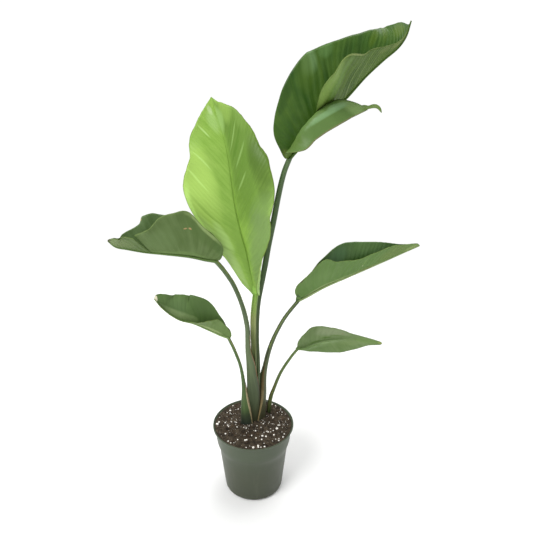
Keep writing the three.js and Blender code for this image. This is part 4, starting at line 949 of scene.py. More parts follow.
def stalk_finish(name, tints, seed, edge):
    """A stalk: long strands, its colours at rising heights, and the margin of its sheath.

    tints: [height, colour]. edge: [height, half width as a share of the section, colour]."""
    f = Finish(name)
    far, round_it = f.chart()
    height = f.height()
    strand = f.strands(far, 1.6, round_it, 70, seed, 3, 0.6)
    broad = f.strands(far, 0.8, round_it, 9, seed)
    cloud = f.noise(f.own(), 26, 3, 0.6)
    colour = f.climb(f.sway(cloud, 0.03, height), [(z, seen(*tint)) for z, tint in tints])
    darker = f.mix(1.0, colour, (0.7, 0.72, 0.68, 1), "MULTIPLY")
    colour = f.mix(f.steps(f.sway(strand, 0.9, broad), 0.7, 0.3), colour, darker)
    lighter = f.mix(1.0, colour, (1.25, 1.22, 1.25, 1), "MULTIPLY")
    colour = f.mix(f.steps(broad, 0.55, 0.75), colour, lighter)
    spot = f.node("CombineXYZ", {0: f.times(far, 22), 1: f.times(round_it, 40), 2: 1}).outputs[0]
    colour = f.mix(f.steps(f.cells(spot, 1), 0.12, 0.04, 0, 0.25), colour, paint(96, 82, 50))
    if edge:
        wide = f.climb(height, [(z, (w, w, w, 1)) for z, w, _ in edge])
        wide = f.node("SeparateColor", {0: wide}).outputs[0]
        off = f.math("SUBTRACT", round_it, OUTER_SHARE)
        ragged = f.sway(f.noise(f.own(), 260, 3, 0.7), 0.02, off)
        away = f.math("DIVIDE", f.math("ABSOLUTE", f.math("ADD", ragged, 0.004)), wide)
        level = f.sway(f.noise(f.own(), 120, 2), 0.01, height)
        tint = f.climb(level, [(z, seen(*shown)) for z, _, shown in edge])
        spots = f.steps(f.noise(f.own(), 480, 2, 0.6), 0.54, 0.66, 0, 0.6)
        colour = f.mix(f.steps(away, 1.1, 0.8), colour, f.mix(spots, tint, paint(58, 42, 30)))
    relief = [(strand, 0.16, 0.8), (f.noise(f.own(), 700, 2), 0.03, 0.5)]
    return f.finished(colour, f.steps(cloud, 0.3, 0.75, 0.42, 0.6), relief, 0.28)


def husk_finish(name, edge, seed):
    """The cut edge of a leaf, with papery strands."""
    f = Finish(name)
    far, across = f.chart()
    strand = f.strands(far, 6, across, 7, seed, 3)
    cloud = f.noise(f.own(), 95, 3, 0.6)
    brown = seen(*[EDGE_SHADE * value for value in edge])
    colour = f.mix(f.steps(f.sway(strand, 1.2, cloud), 0.3, 0.7), brown, seen(*edge))
    rough = f.steps(strand, 0.3, 0.7, 0.6, 0.85)
    return f.finished(colour, rough, [(strand, 0.25, 1)], LEAF_SHINE)


def pot_finish():
    """Moulded plastic: a fine satin skin, faint flow marks, scuffs and potting dust."""
    f = Finish("pot_plastic")
    own, height = f.own(), f.height()
    patch = f.noise(own, 17, 3, 0.6)
    streak = f.drawn_out((60, 60, 5), 3, 0.6)
    tints = [(0, (54, 60, 43)), (60, (58, 64, 46)), (105, (61, 69, 51)), (125, (66, 76, 57))]
    colour = f.climb(f.sway(patch, 0.04, height), [(z, paint(*tint)) for z, tint in tints])
    colour = f.mix(f.times(f.steps(streak, 0.5, 0.8), 0.2), colour, paint(86, 90, 72))
    dust = f.steps(f.noise(own, 130, 4, 0.7), 0.58, 0.74)
    dust = f.times(dust, f.steps(height, 0.0, 0.06, 0.45, 0.12))
    colour = f.mix(dust, colour, paint(104, 92, 72))
    crumbs = f.times(f.steps(f.cells(own, 330), 0.16, 0.06), f.steps(height, 0.12, 0.15))
    colour = f.mix(f.times(crumbs, 0.5), colour, paint(44, 36, 28))
    rough = f.math("ADD", f.steps(patch, 0.3, 0.7, 0.42, 0.5), f.times(dust, 0.4))
    scratch = f.drawn_out((90, 90, 900), 2)
    relief = [(f.noise(own, 2400, 2), 0.035, 0.5), (scratch, 0.02, 0.35), (streak, 0.12, 0.35)]
    return f.finished(colour, rough, relief, 0.42)


def soil_finish(name, dark, brown):
    """Peat: crumbs of several sizes, paler fibres and pits."""
    f = Finish(name)
    own = f.own()
    crumb = f.cells(own, 420)
    lump = f.noise(own, 110, 4, 0.7)
    grit = f.noise(own, 1300, 3, 0.7)
    colour = f.mix(f.steps(f.sway(grit, 1.1, lump), 0.3, 0.72), paint(*dark), paint(*brown))
    pale = f.steps(f.noise(own, 700, 2, 0.7), 0.64, 0.74, 0, 0.4)
    colour = f.mix(pale, colour, paint(112, 92, 68))
    colour = f.mix(f.steps(crumb, 0.75, 0.35, 0.45, 0), colour, paint(20, 16, 12))
    relief = [(lump, 1.2, 0.8), (crumb, 0.7, 0.7), (grit, 0.3, 0.8)]
    return f.finished(colour, f.steps(grit, 0.3, 0.7, 0.82, 0.97), relief, 0.2)


def perlite_finish():
    """Perlite: chalky white glass foam with fine pores and a little peat stain."""
    f = Finish("perlite")
    own = f.own()
    pore = f.cells(own, 1500)
    stain = f.noise(own, 260, 3, 0.6)
    colour = f.mix(f.steps(stain, 0.55, 0.8), paint(250, 246, 238), paint(202, 190, 168))
    # Greyer in the pores: painted shade in the hollows.
    colour = f.mix(f.steps(pore, 0.25, 0.08, 0, 0.3), colour, paint(176, 166, 150))
    relief = [(pore, 0.25, 0.7), (f.noise(own, 900, 3), 0.2, 0.6)]
    return f.finished(colour, f.steps(stain, 0.3, 0.8, 0.75, 0.9), relief)


def floor_finish():
    f = Finish("studio_floor")
    colour = f.mix(f.noise(f.own(), 9, 2), (0.93, 0.93, 0.925, 1), (0.95, 0.95, 0.945, 1))
    return f.finished(colour, 0.9, [(f.noise(f.own(), 60, 2), 0.05, 0.2)])


# ------------------------------------------------------------------------------------ pot and soil


def spun(bm, profile, steps):
    """A profile (radius, height) turned round the pot's axis into a closed skin."""
    row = [bm.verts.new(Vector((r, 0, z)) * MM) for r, z in profile]
    edges = [bm.edges.new(pair) for pair in zip(row, row[1:])]
    bmesh.ops.spin(
        bm, geom=row + edges, cent=(0, 0, 0), axis=(0, 0, 1), angle=2 * math.pi,
        steps=steps, use_merge=True,
    )
    bmesh.ops.remove_doubles(bm, verts=bm.verts, dist=MERGE_DISTANCE)
    bmesh.ops.recalc_face_normals(bm, faces=bm.faces)


def rounded(points, radius, steps=5):
    """A profile with its inner corners rounded off. A corner's third number is its own rounding."""
    out = [points[0]]
    for before, corner, after in zip(points, points[1:], points[2:]):
        here = Vector(corner[:2])
        back, ahead = Vector(before[:2]) - here, Vector(after[:2]) - here
        reach = min((*corner, radius)[2], 0.45 * back.length, 0.45 * ahead.length)
        start, end = here + back.normalized() * reach, here + ahead.normalized() * reach
        for i in range(steps + 1):
            t = i / steps
            out.append(tuple(start * (1 - t) ** 2 + here * 2 * t * (1 - t) + end * t * t))
    return out + [points[-1]]


def spaced(points, step):
    """A profile with no stretch longer than a step."""
    out = [points[0]]
    for start, end in zip(points, points[1:]):
        pieces = max(1, math.ceil((Vector(end) - Vector(start)).length / step))
        for i in range(1, pieces + 1):
            out.append(tuple(Vector(start).lerp(Vector(end), i / pieces)))
    return out


def make_pot():
    p = POT
    lip_foot, collar_foot = p["height"] - p["lip_height"], p["height"] - p["collar_height"]
    body_top = collar_foot - p["ledge"] / 2
    low, bend = p["bottom_rounding"], p["ledge_rounding"]
    bottom, wall = p["body_bottom_radius"], p["wall"]
    outside = [
        (0, p["hollow_height"]), (p["hollow_radius"], p["hollow_height"]), (p["foot_ring_radius"], 0),
        (bottom - low, 0), (bottom, low),
        (p["body_top_radius"] - 0.2, body_top - p["bend_below_ledge"], bend),
        (p["collar_bottom_radius"] - 0.1, collar_foot + p["bend_above_ledge"], bend),
        (p["collar_top_radius"], lip_foot - 1),
        (p["rim_radius"], lip_foot), (p["rim_radius"], p["height"]), (p["mouth_radius"], p["height"]),
    ]
    inside = [
        *reversed(p["flare"]), (p["collar_bottom_radius"] - wall, collar_foot + 1),
        (p["body_top_radius"] - wall, body_top - 1), (bottom - wall, low),
        (bottom - wall - 2, p["floor"]), (0, p["floor"]),
    ]
    bm = bmesh.new()
    profile = spaced(rounded(outside + inside, p["rounding"]), p["longest_face"])
    spun(bm, profile, p["faces_around"])
    drill = bmesh.new()
    for i in range(p["drain_holes"]):
        angle = (i + 0.5) / p["drain_holes"] * 2 * math.pi
        spot = Vector((math.cos(angle), math.sin(angle), 0)) * p["drain_circle"]
        bmesh.ops.create_cone(
            drill, cap_ends=True, segments=p["drain_faces"], radius1=p["drain_radius"] * MM,
            radius2=p["drain_radius"] * MM, depth=p["drill_length"] * MM,
            matrix=Matrix.Translation(spot * MM),
        )
    cut(piece_from(bm, "nursery_pot", [pot_finish()], "pot_plastic", "pot"), drill)


def cut(piece, drill):
    """Cuts a piece with the closed shapes in a drill mesh."""
    tool = object_from(drill, "drill")
    hole = piece.modifiers.new("drain", "BOOLEAN")
    hole.operation = "DIFFERENCE"
    hole.solver = "EXACT"
    hole.object = tool
    bpy.context.view_layer.update()
    graph = bpy.context.evaluated_depsgraph_get()
    made = bpy.data.meshes.new_from_object(piece.evaluated_get(graph))
    piece.modifiers.clear()
    piece.data = made
    bpy.data.objects.remove(tool)
    made.shade_smooth()
    made.set_sharp_from_angle(angle=POT["sharp_edge"])


def soil_height(x, y):
    reach = min(1, math.hypot(x, y) / SOIL_EDGE_RADIUS)
    dome = lerp(SOIL_EDGE, SOIL_CROWN, math.cos(reach * math.pi / 2))
    lumps = math.sin(0.31 * x + 1.3 * math.sin(0.17 * y))
    lumps *= math.sin(0.27 * y + 1.1 * math.sin(0.21 * x))
    return dome + SOIL_LUMPS * lumps * (1 - ease(0.86, 0.98, reach))


def soil_top(x, y):
    """The dressed surface: the solid's own height with crumbs and pits on it."""
    crumbs = sum(
        height * noise.fractal(Vector((x, y, lane)) / size, 0.8, 2.1, 4)
        for size, height, lane in SOIL_CRUMBS
    )
    return soil_height(x, y) + crumbs * (0.4 + 0.6 * ease(80, 70, math.hypot(x, y)))


def make_soil():
    p = POT
    clear = p["wall"] + SOIL_GAP
    bottom, floor = p["body_bottom_radius"] - clear, p["floor"] + SOIL_GAP
    collar_foot = p["height"] - p["collar_height"]
    walls = [
        (0, floor), (bottom - 2, floor), (bottom, p["bottom_rounding"] + 1),
        (p["body_top_radius"] - clear, collar_foot - p["ledge"] / 2),
        (p["collar_bottom_radius"] - clear, collar_foot + 2),
        *[(radius - SOIL_GAP, height) for radius, height in p["flare"][:2]],
    ]
    top = [(SOIL_EDGE_RADIUS * (1 - i / SOIL_RINGS), SOIL_EDGE) for i in range(SOIL_RINGS + 1)]
    bm = bmesh.new()
    spun(bm, spaced(walls, SOIL_LONGEST_FACE) + top, SOIL_FACES_AROUND)
    for vert in bm.verts:
        x, y, z = vert.co / MM
        if z > SOIL_EDGE - 0.01:
            vert.co.z = soil_top(x, y) * MM
    finish = soil_finish("potting_soil", (36, 31, 24), (90, 79, 64))
    piece_from(bm, "soil_body", [finish], "potting_soil", "soil")


def add_grain(bm, spot, size, turn, flat, fine=1):
    """One rough grain on the soil."""
    centre = Vector(spot) * MM
    pose = Matrix.Translation(centre) @ Matrix.Rotation(turn, 4, "Z")
    pose = pose @ Matrix.Rotation(turn * 1.7, 4, "X")
    made = bmesh.ops.create_icosphere(bm, subdivisions=fine, radius=size * MM, matrix=pose)["verts"]
    for vert in made:
        arm = vert.co - centre
        rough = 1 + 0.38 * noise.noise(vert.co / (size * MM) * 1.3 + Vector((turn, 0, 0)))
        vert.co = centre + Vector((arm.x * rough, arm.y * rough, arm.z * rough * flat))


def off_clump(x, y, room=0.0):
    """Whether a spot on the soil is clear of the stalks."""
    cx, cy = through(CLUMP_AXIS, SOIL_LEVEL)
    for oval in ("third", "fourth"):
        offset, a, b = through(OVALS[oval], SOIL_LEVEL)
        along = (x - cx) * math.cos(FAN_TURN) + (y - cy) * math.sin(FAN_TURN) - offset
        front = (x - cx) * math.sin(FAN_TURN) - (y - cy) * math.cos(FAN_TURN)
        if math.hypot(along / (a + CLUMP_ROOM + room), front / (b + CLUMP_ROOM + room)) < 1:
            return False
    return math.hypot(x - LONE_STALK[0], y - LONE_STALK[1]) > LONE_ROOM + room


# Perlite that the photo shows: [column, row, width] in an enlarged view, and where that view lies.
SEEN_SCALE = 14.8
SEEN_CORNER = (208, 398)
SEEN_HEIGHT = 0.1495
SEEN_FULLNESS = 0.66  # of a grain's seen width, as the radius of its rough ball
MM_PER_PIXEL = 2.0
GRAINS_SEEN = [
    (360, 100, 14), (285, 210, 14), (330, 180, 18), (330, 225, 12), (375, 225, 8), (405, 165, 8),
    (448, 165, 16), (150, 275, 14), (128, 378, 34), (165, 350, 24), (255, 365, 14), (345, 350, 16),
    (400, 352, 14), (420, 358, 14), (292, 395, 18), (308, 415, 18), (430, 432, 14), (400, 460, 8),
    (258, 520, 20), (360, 500, 8), (530, 432, 12), (565, 452, 14), (610, 425, 10), (725, 410, 14),
    (785, 432, 12), (820, 385, 16), (840, 355, 8), (905, 350, 12), (965, 285, 18), (960, 380, 10),
    (955, 80, 24), (1012, 100, 16), (1085, 150, 14), (1095, 205, 14), (1060, 195, 10), (1160, 225, 8),
    (1195, 305, 12), (1150, 350, 8), (1040, 404, 18), (1060, 394, 16), (1020, 450, 30), (1095, 490, 8),
    (1130, 520, 14), (1110, 570, 18), (1050, 590, 14), (1065, 632, 16), (1000, 600, 12), (975, 545, 20),
    (930, 495, 14), (965, 480, 14), (872, 496, 16), (892, 506, 16), (830, 508, 12), (805, 555, 26),
    (860, 565, 22), (795, 615, 18), (830, 665, 10), (710, 590, 18), (705, 490, 18), (680, 485, 8),
    (645, 555, 18), (600, 500, 8), (540, 580, 12), (548, 618, 22), (572, 612, 22), (440, 610, 14),
    (190, 555, 8), (265, 660, 16), (330, 665, 14), (385, 655, 10), (560, 740, 14), (670, 725, 28),
    (740, 695, 24), (785, 725, 14), (750, 750, 20), (845, 722, 20),
]


def seen_on_soil(column, row):
    """Where the camera's ray through a spot of the enlarged view meets the soil, in millimetres."""
    x = (SEEN_CORNER[0] + column / SEEN_SCALE - PHOTO_MIDDLE) / PHOTO_FOCUS
    y = (PHOTO_MIDDLE - SEEN_CORNER[1] - row / SEEN_SCALE) / PHOTO_FOCUS
    ahead = math.sin(CAMERA_TILT) + y * math.cos(CAMERA_TILT)
    rise = y * math.sin(CAMERA_TILT) - math.cos(CAMERA_TILT)
    share = (SEEN_HEIGHT - CAMERA_SPOT[2]) / rise
    return (CAMERA_SPOT[0] + x * share) / MM, (CAMERA_SPOT[1] + ahead * share) / MM


def scattered(draw, count, edge, allowed):
    """Spots spread evenly over the soil up to an edge radius, where they are allowed."""
    placed = 0
    while placed < count:
        far, angle = edge * math.sqrt(draw.random()), draw.uniform(0, 2 * math.pi)
        x, y = far * math.cos(angle), far * math.sin(angle)
        if allowed(x, y):
            yield x, y
            placed += 1


def make_grains():
    """Perlite where the photo shows it and a little more between, with peat crumbs and bark."""
    draw = random.Random(11)
    white, crumbs, bark = bmesh.new(), bmesh.new(), bmesh.new()

    def thinned(x, y):
        """Off the stalks, and fewer at the front, where the photo shows each grain."""
        return not (y < -20 and draw.random() < 0.6) and off_clump(x, y)

    def strew(bm, kind, edge, allowed):
        count, least, more, rare, lift = kind
        for x, y in scattered(draw, count, edge, allowed):
            size = least + more * draw.random() ** rare
            add_grain(bm, (x, y, soil_top(x, y) + lift * size), size, draw.uniform(0, 6), 0.8)

    for column, row, width in GRAINS_SEEN:
        x, y = seen_on_soil(column, row)
        inward = min(1, GRAIN_EDGE / math.hypot(x, y))
        x, y = x * inward, y * inward
        size = SEEN_FULLNESS * width / SEEN_SCALE * MM_PER_PIXEL
        place = (x, y, soil_top(x, y) + 0.35 * size)
        add_grain(white, place, size, draw.uniform(0, 6), 0.75, 2)
    strew(white, SMALL_PERLITE, GRAIN_EDGE, thinned)
    strew(crumbs, CRUMBS, GRAIN_EDGE + 1, lambda x, y: off_clump(x, y, -0.8))
    for x, y in scattered(draw, BARK_CHIPS, GRAIN_EDGE - 5, lambda x, y: off_clump(x, y, 3)):
        length, turn = draw.uniform(3, 9), draw.uniform(0, math.pi)
        pose = Matrix.Translation(Vector((x, y, soil_top(x, y) + 0.5)) * MM)
        pose = pose @ Matrix.Rotation(turn, 4, "Z") @ Matrix.Rotation(draw.uniform(-0.25, 0.25), 4, "Y")
        pose = pose @ Matrix.Diagonal((length * MM, draw.uniform(0.7, 1.6) * MM, 0.6 * MM, 1))
        for vert in bmesh.ops.create_cube(bark, size=1, matrix=pose)["verts"]:
            vert.co += Vector([draw.uniform(-0.3, 0.3) * MM for _ in range(3)])
    peat = soil_finish("peat_crumbs", (40, 34, 27), (96, 84, 68))
    bits = soil_finish("bark", (50, 38, 28), (98, 76, 54))
    piece_from(white, "perlite_grains", [perlite_finish()], "potting_soil")
    piece_from(crumbs, "soil_crumbs", [peat], "potting_soil")
    piece_from(bark, "bark_chips", [bits], "potting_soil")


# ------------------------------------------------------------------- the leaves' and stalks' looks

SCORCHED = (58, 44, 28)

# The two faces of each leaf, in the colours from 0 to 255 that the photo shows. stripe and rib_share say
# how clearly the veins and the midrib show. A patch is soft: [foot along the midrib in decimetres,
# share along the vein, half sizes of both, colour, strength]. A mark has a torn border and no strength,
# and its colour is the paint's own.
# Some patches are painted light, shade, sheen or highlights; these are noted at their leaves.
UPPER = {
    "top_right": dict(
        dark=(58, 84, 38), light=(92, 118, 62), rib=(120, 142, 84), margin=(78, 102, 52), stripe=0.6,
        patches=[
            # Painted sheen: the pale patches at 0.74, 0.82 and 1.09. From 10 on, the torn lobe: its own
            # green painted lighter where it faces the light, with painted highlights along its ridge at
            # 10.56 and 10.68.
            (0.82, -0.88, 0.14, 0.22, (113, 142, 96), 0.8), (1.09, -0.94, 0.12, 0.14, (98, 129, 79), 0.7),
            (0.74, -0.75, 0.1, 0.3, (89, 114, 58), 0.5), (1.04, -0.56, 0.06, 0.32, (62, 86, 34), 0.7),
            (1.43, -0.69, 0.09, 0.34, (62, 84, 32), 0.7), (1.64, -0.75, 0.08, 0.3, (64, 86, 34), 0.6),
            (1.92, -0.81, 0.1, 0.25, (88, 110, 53), 0.6), (2.2, -0.75, 0.1, 0.3, (88, 110, 53), 0.6),
            (2.63, -0.69, 0.22, 0.3, (96, 118, 58), 0.7), (0.44, -0.88, 0.14, 0.16, (62, 84, 40), 0.7),
            (0.44, -0.19, 0.16, 0.14, (87, 113, 66), 0.7), (0.6, -0.15, 0.4, 0.22, (70, 94, 46), 0.5),
            (0.05, -0.4, 0.08, 0.6, (120, 130, 76), 0.7), (10.4, 0.55, 1.1, 1.6, (104, 130, 80), 0.9),
            (10.1, 0.4, 0.25, 0.6, (96, 118, 64), 0.7), (10.45, 0.42, 0.2, 0.12, (126, 150, 76), 0.7),
            (10.8, 0.85, 0.12, 0.4, (134, 160, 104), 0.8), (10.56, 0.68, 0.2, 0.07, (132, 166, 120), 0.8),
            (10.68, 0.62, 0.1, 0.07, (138, 170, 126), 0.6), (10.34, 0.5, 0.1, 0.05, (132, 160, 96), 0.6),
            (10.4, 0.985, 0.5, 0.015, (142, 138, 100), 0.8),
        ],
    ),
    "new": dict(
        dark=(128, 166, 76), light=(156, 190, 98), rib=(132, 170, 80), margin=(112, 128, 64), stripe=0.8,
        rib_share=0.2,
        patches=[
            # Painted light and shade: the broad darker patches on the right half (shares above 0) are
            # painted shade, and the broad pale patches on the left half are painted light, as the light
            # comes from the left. The whitish streak at 3.15 near the tip is a painted highlight.
            (2.2, 0.55, 1.6, 0.6, (102, 132, 66), 0.85), (2.92, 0.81, 0.3, 0.35, (146, 178, 93), 0.7),
            (2.38, 0.9, 0.2, 0.14, (125, 156, 83), 0.6), (1.5, 0.88, 0.66, 0.22, (86, 110, 58), 0.75),
            (0.6, -0.1, 0.9, 0.16, (124, 158, 76), 0.6), (0.5, 0.6, 0.8, 0.6, (124, 150, 94), 0.8),
            (1.4, -0.72, 0.8, 0.42, (180, 215, 113), 0.7), (0.5, -0.7, 0.5, 0.34, (168, 198, 124), 0.8),
            (0.89, -0.42, 0.22, 0.16, (176, 210, 126), 0.8), (3, -0.5, 0.25, 0.4, (166, 200, 124), 0.6),
            (3.1, 0.25, 0.25, 0.45, (150, 184, 108), 0.85), (0.04, 0, 0.12, 1.3, (120, 148, 80), 0.7),
            (0.85, -0.93, 0.4, 0.1, (198, 238, 134), 0.7), (2.55, -0.78, 0.03, 0.2, (192, 226, 146), 0.5),
            (1.93, -0.72, 0.03, 0.24, (194, 232, 140), 0.45),
            (1.5, -0.78, 0.03, 0.24, (198, 236, 140), 0.45), (1.12, -0.6, 0.04, 0.3, (136, 172, 84), 0.5),
            (0.72, -0.6, 0.03, 0.3, (140, 172, 92), 0.5), (2.51, 0.5, 0.03, 0.36, (150, 182, 108), 0.6),
            (2.15, 0.52, 0.03, 0.26, (148, 180, 108), 0.6), (1.81, 0.4, 0.03, 0.2, (152, 184, 110), 0.6),
            (2.34, 0.5, 0.06, 0.36, (96, 130, 60), 0.6), (2.66, 0.45, 0.04, 0.36, (104, 138, 66), 0.6),
            (2, 0.4, 0.04, 0.3, (104, 138, 64), 0.5), (3.15, -0.7, 0.1, 0.25, (196, 216, 166), 0.5),
        ],
        marks=[(0.04, 0.5, 0.012, 0.2, (140, 110, 70))],
    ),
    "left_upper": dict(
        dark=(84, 104, 66), light=(104, 126, 86), rib=(104, 128, 80), margin=(104, 128, 80),
        marks=[(0.95, 1, 0.015, 0.03, (186, 166, 120))],
    ),
    "left_lower": dict(
        dark=(84, 108, 64), light=(108, 130, 86), rib=(130, 156, 96), margin=(92, 116, 70), rib_share=0.7,
        patches=[
            (0.45, 0.6, 0.3, 0.6, (90, 112, 72), 0.8), (1, 0.6, 0.3, 0.4, (108, 132, 90), 0.5),
            (1.1, 0.2, 0.4, 0.2, (144, 164, 116), 0.85), (0.78, 0.17, 0.16, 0.14, (124, 144, 98), 0.8),
            (1.35, 0.5, 0.2, 0.5, (98, 122, 78), 0.5),
        ],
        marks=[
            (1.62, 0.5, 0.1, 0.7, (226, 220, 194)), (1.6, -0.4, 0.035, 0.5, (112, 92, 70)),
            (0.21, 1, 0.02, 0.05, SCORCHED),
        ],
    ),
    "right_upper": dict(
        dark=(72, 96, 60), light=(94, 118, 80), rib=(96, 120, 74), margin=(120, 146, 92),
        patches=[
            (0.8, -0.7, 0.22, 0.3, (88, 114, 84), 0.7), (1.35, -0.85, 0.3, 0.25, (98, 124, 80), 0.6),
            (1.3, -0.35, 0.6, 0.25, (66, 90, 50), 0.7), (0.4, -0.7, 0.15, 0.4, (70, 94, 54), 0.6),
        ],
    ),
    "right_lower": dict(
        dark=(102, 124, 80), light=(126, 144, 104), rib=(116, 140, 92), margin=(104, 112, 76), stripe=0.8,
        patches=[
            (0.68, -0.68, 0.36, 0.35, (138, 150, 118), 0.8), (0.3, -0.8, 0.12, 0.4, (104, 122, 84), 0.6),
            (0.4, -0.1, 0.16, 0.07, (90, 116, 64), 0.6), (0.6, -0.24, 0.14, 0.07, (90, 116, 64), 0.7),
            (0.76, -0.4, 0.12, 0.08, (94, 118, 70), 0.6), (0.5, 0.2, 0.3, 0.2, (130, 150, 108), 0.5),
            (0.3, 0.65, 0.3, 0.4, (100, 122, 80), 0.7), (1.1, 0.4, 0.3, 0.3, (128, 146, 102), 0.4),
            (1.45, -0.2, 0.3, 0.9, (118, 142, 90), 0.8), (1.72, 0, 0.07, 0.9, (160, 166, 98), 0.8),
        ],
        marks=[(0.87, -0.62, 0.02, 0.03, (132, 112, 74))],
    ),
}
UNDER = {
    "top_right": dict(
        dark=(78, 102, 50), light=(102, 126, 66), rib=(128, 150, 90), margin=(140, 150, 96),
        patches=[
            # Painted highlights: the bluish patch at 0.77 and the pale stripe at 1.02.
            (0.9, 0.7, 0.1, 0.4, (136, 164, 92), 0.85), (1.02, 0.62, 0.07, 0.4, (114, 144, 80), 0.8),
            (1.27, 0.62, 0.1, 0.3, (74, 98, 46), 0.7), (1.42, 0.4, 0.15, 0.5, (76, 100, 50), 0.7),
            (1.99, 0.88, 0.2, 0.14, (109, 127, 72), 0.8), (2.5, 0.85, 0.3, 0.3, (123, 139, 84), 0.8),
            (1.38, 0.4, 0.011, 0.6, (152, 170, 112), 0.8), (1.22, 0.6, 0.009, 0.4, (128, 150, 90), 0.5),
            (1.62, 0.5, 0.01, 0.5, (144, 164, 106), 0.7), (1.85, 0.5, 0.01, 0.5, (144, 162, 106), 0.6),
            (10.83, 0.85, 0.12, 0.4, (122, 146, 88), 0.9), (0.77, 0.45, 0.05, 0.3, (140, 168, 130), 0.7),
            (0.76, 0.92, 0.12, 0.14, (132, 156, 92), 0.7), (1, 0.99, 0.4, 0.008, (168, 186, 120), 0.7),
        ],
    ),
    "new": dict(
        dark=(150, 190, 104), light=(192, 222, 146), rib=(150, 188, 98), margin=(160, 170, 110),
        stripe=0.6,
        patches=[
            (0.7, 0.88, 0.5, 0.014, (206, 228, 168), 0.7), (0.75, 0.95, 0.4, 0.012, (206, 228, 168), 0.6),
        ],
    ),
    "left_upper": dict(
        dark=(92, 112, 68), light=(116, 136, 92), rib=(116, 140, 88), margin=(130, 150, 96),
        rib_share=0.3,
        patches=[
            (0.32, -0.75, 0.2, 0.32, (92, 114, 68), 0.7), (0.27, -0.95, 0.16, 0.1, (146, 166, 110), 0.9),
            (0.85, -0.5, 0.3, 0.35, (112, 134, 88), 0.5), (0.6, -0.06, 0.8, 0.06, (118, 142, 90), 0.6),
            (0.12, -0.8, 0.1, 0.3, (86, 110, 66), 0.5), (1.55, -0.6, 0.35, 0.5, (126, 142, 98), 0.7),
        ],
        marks=[
            (0.468, -0.63, 0.018, 0.014, (168, 140, 96)), (0.425, -0.63, 0.014, 0.02, (168, 140, 96)),
            (1.74, -0.95, 0.06, 0.12, SCORCHED), (1.82, -0.3, 0.05, 0.8, SCORCHED),
        ],
    ),
    "left_lower": dict(
        dark=(104, 128, 76), light=(126, 148, 98), rib=(172, 190, 136), margin=(140, 160, 104),
        rib_share=0.8, patches=[(0.45, -0.1, 0.35, 0.12, (168, 188, 130), 0.7)],
        marks=[(0.13, -0.97, 0.03, 0.06, SCORCHED), (0.21, 1, 0.02, 0.05, SCORCHED)],
    ),
    "right_upper": dict(
        dark=(98, 128, 72), light=(116, 144, 90), rib=(156, 176, 122), margin=(142, 170, 104),
        rib_share=0.7, stripe=0.8,
        patches=[
            (0.9, 0.05, 1, 0.06, (156, 176, 122), 0.7), (1.95, 0.5, 0.4, 0.6, (120, 140, 84), 0.7),
            (2.45, 0.3, 0.24, 0.9, (146, 166, 106), 0.8), (1.45, 0.03, 0.25, 0.06, (122, 120, 70), 0.8),
            (1.31, 0.67, 0.014, 0.36, (140, 170, 100), 0.5),
        ],
        marks=[(0.25, 0.98, 0.025, 0.05, SCORCHED), (1.31, 0.38, 0.01, 0.03, (190, 192, 156))],
    ),
}
UNDER["right_lower"] = UPPER["right_lower"]

# The cut edge of each leaf, the pale and deep strands of its midrib, and a darker keel, painted shade on
# the midrib's underside, where one is given.
LEAF_EDGES = {
    "top_right": (112, 132, 78), "new": (140, 158, 84), "left_upper": (126, 144, 88),
    "left_lower": (126, 144, 88), "right_upper": (126, 144, 88), "right_lower": (108, 118, 76),
}
MIDRIBS = {
    "top_right": ((96, 120, 68), (74, 98, 50)),
    "new": ((156, 196, 102), (138, 178, 86)),
    "left_upper": ((112, 136, 86), (92, 116, 68)),
    "left_lower": ((160, 182, 126), (116, 144, 86)),
    "right_upper": ((160, 178, 126), (132, 152, 100)),
    "right_lower": ((126, 154, 94), (104, 132, 78)),
}
SHADED_KEELS = {"right_upper": (96, 112, 72)}

# The colours of each stalk at rising heights, and the half width, as a share of the section, and the
# colour of its sheath's margin.
STALK_TINTS = {
    "new": [
        (150, (70, 78, 60)), (240, (94, 108, 74)), (340, (120, 130, 86)), (385, (156, 166, 110)),
        (415, (146, 174, 96)), (445, (142, 180, 88)),
    ],
    "top_right": [
        (150, (72, 78, 64)), (215, (90, 106, 74)), (330, (88, 104, 70)), (480, (96, 114, 84)),
        (660, (106, 125, 94)),
    ],
    "left_upper": [
        (150, (80, 84, 67)), (215, (88, 98, 76)), (320, (112, 126, 95)), (440, (101, 117, 88)),
        (560, (98, 120, 80)),
    ],
    "right_upper": [
        (150, (92, 92, 74)), (215, (98, 104, 78)), (300, (100, 112, 82)), (400, (99, 112, 85)),
    ],
    "left_lower": [(147, (66, 72, 68)), (166, (73, 81, 67)), (195, (88, 106, 72)), (340, (98, 122, 78))],
    "right_lower": [(147, (72, 84, 60)), (180, (112, 124, 80)), (290, (112, 132, 84))],
}
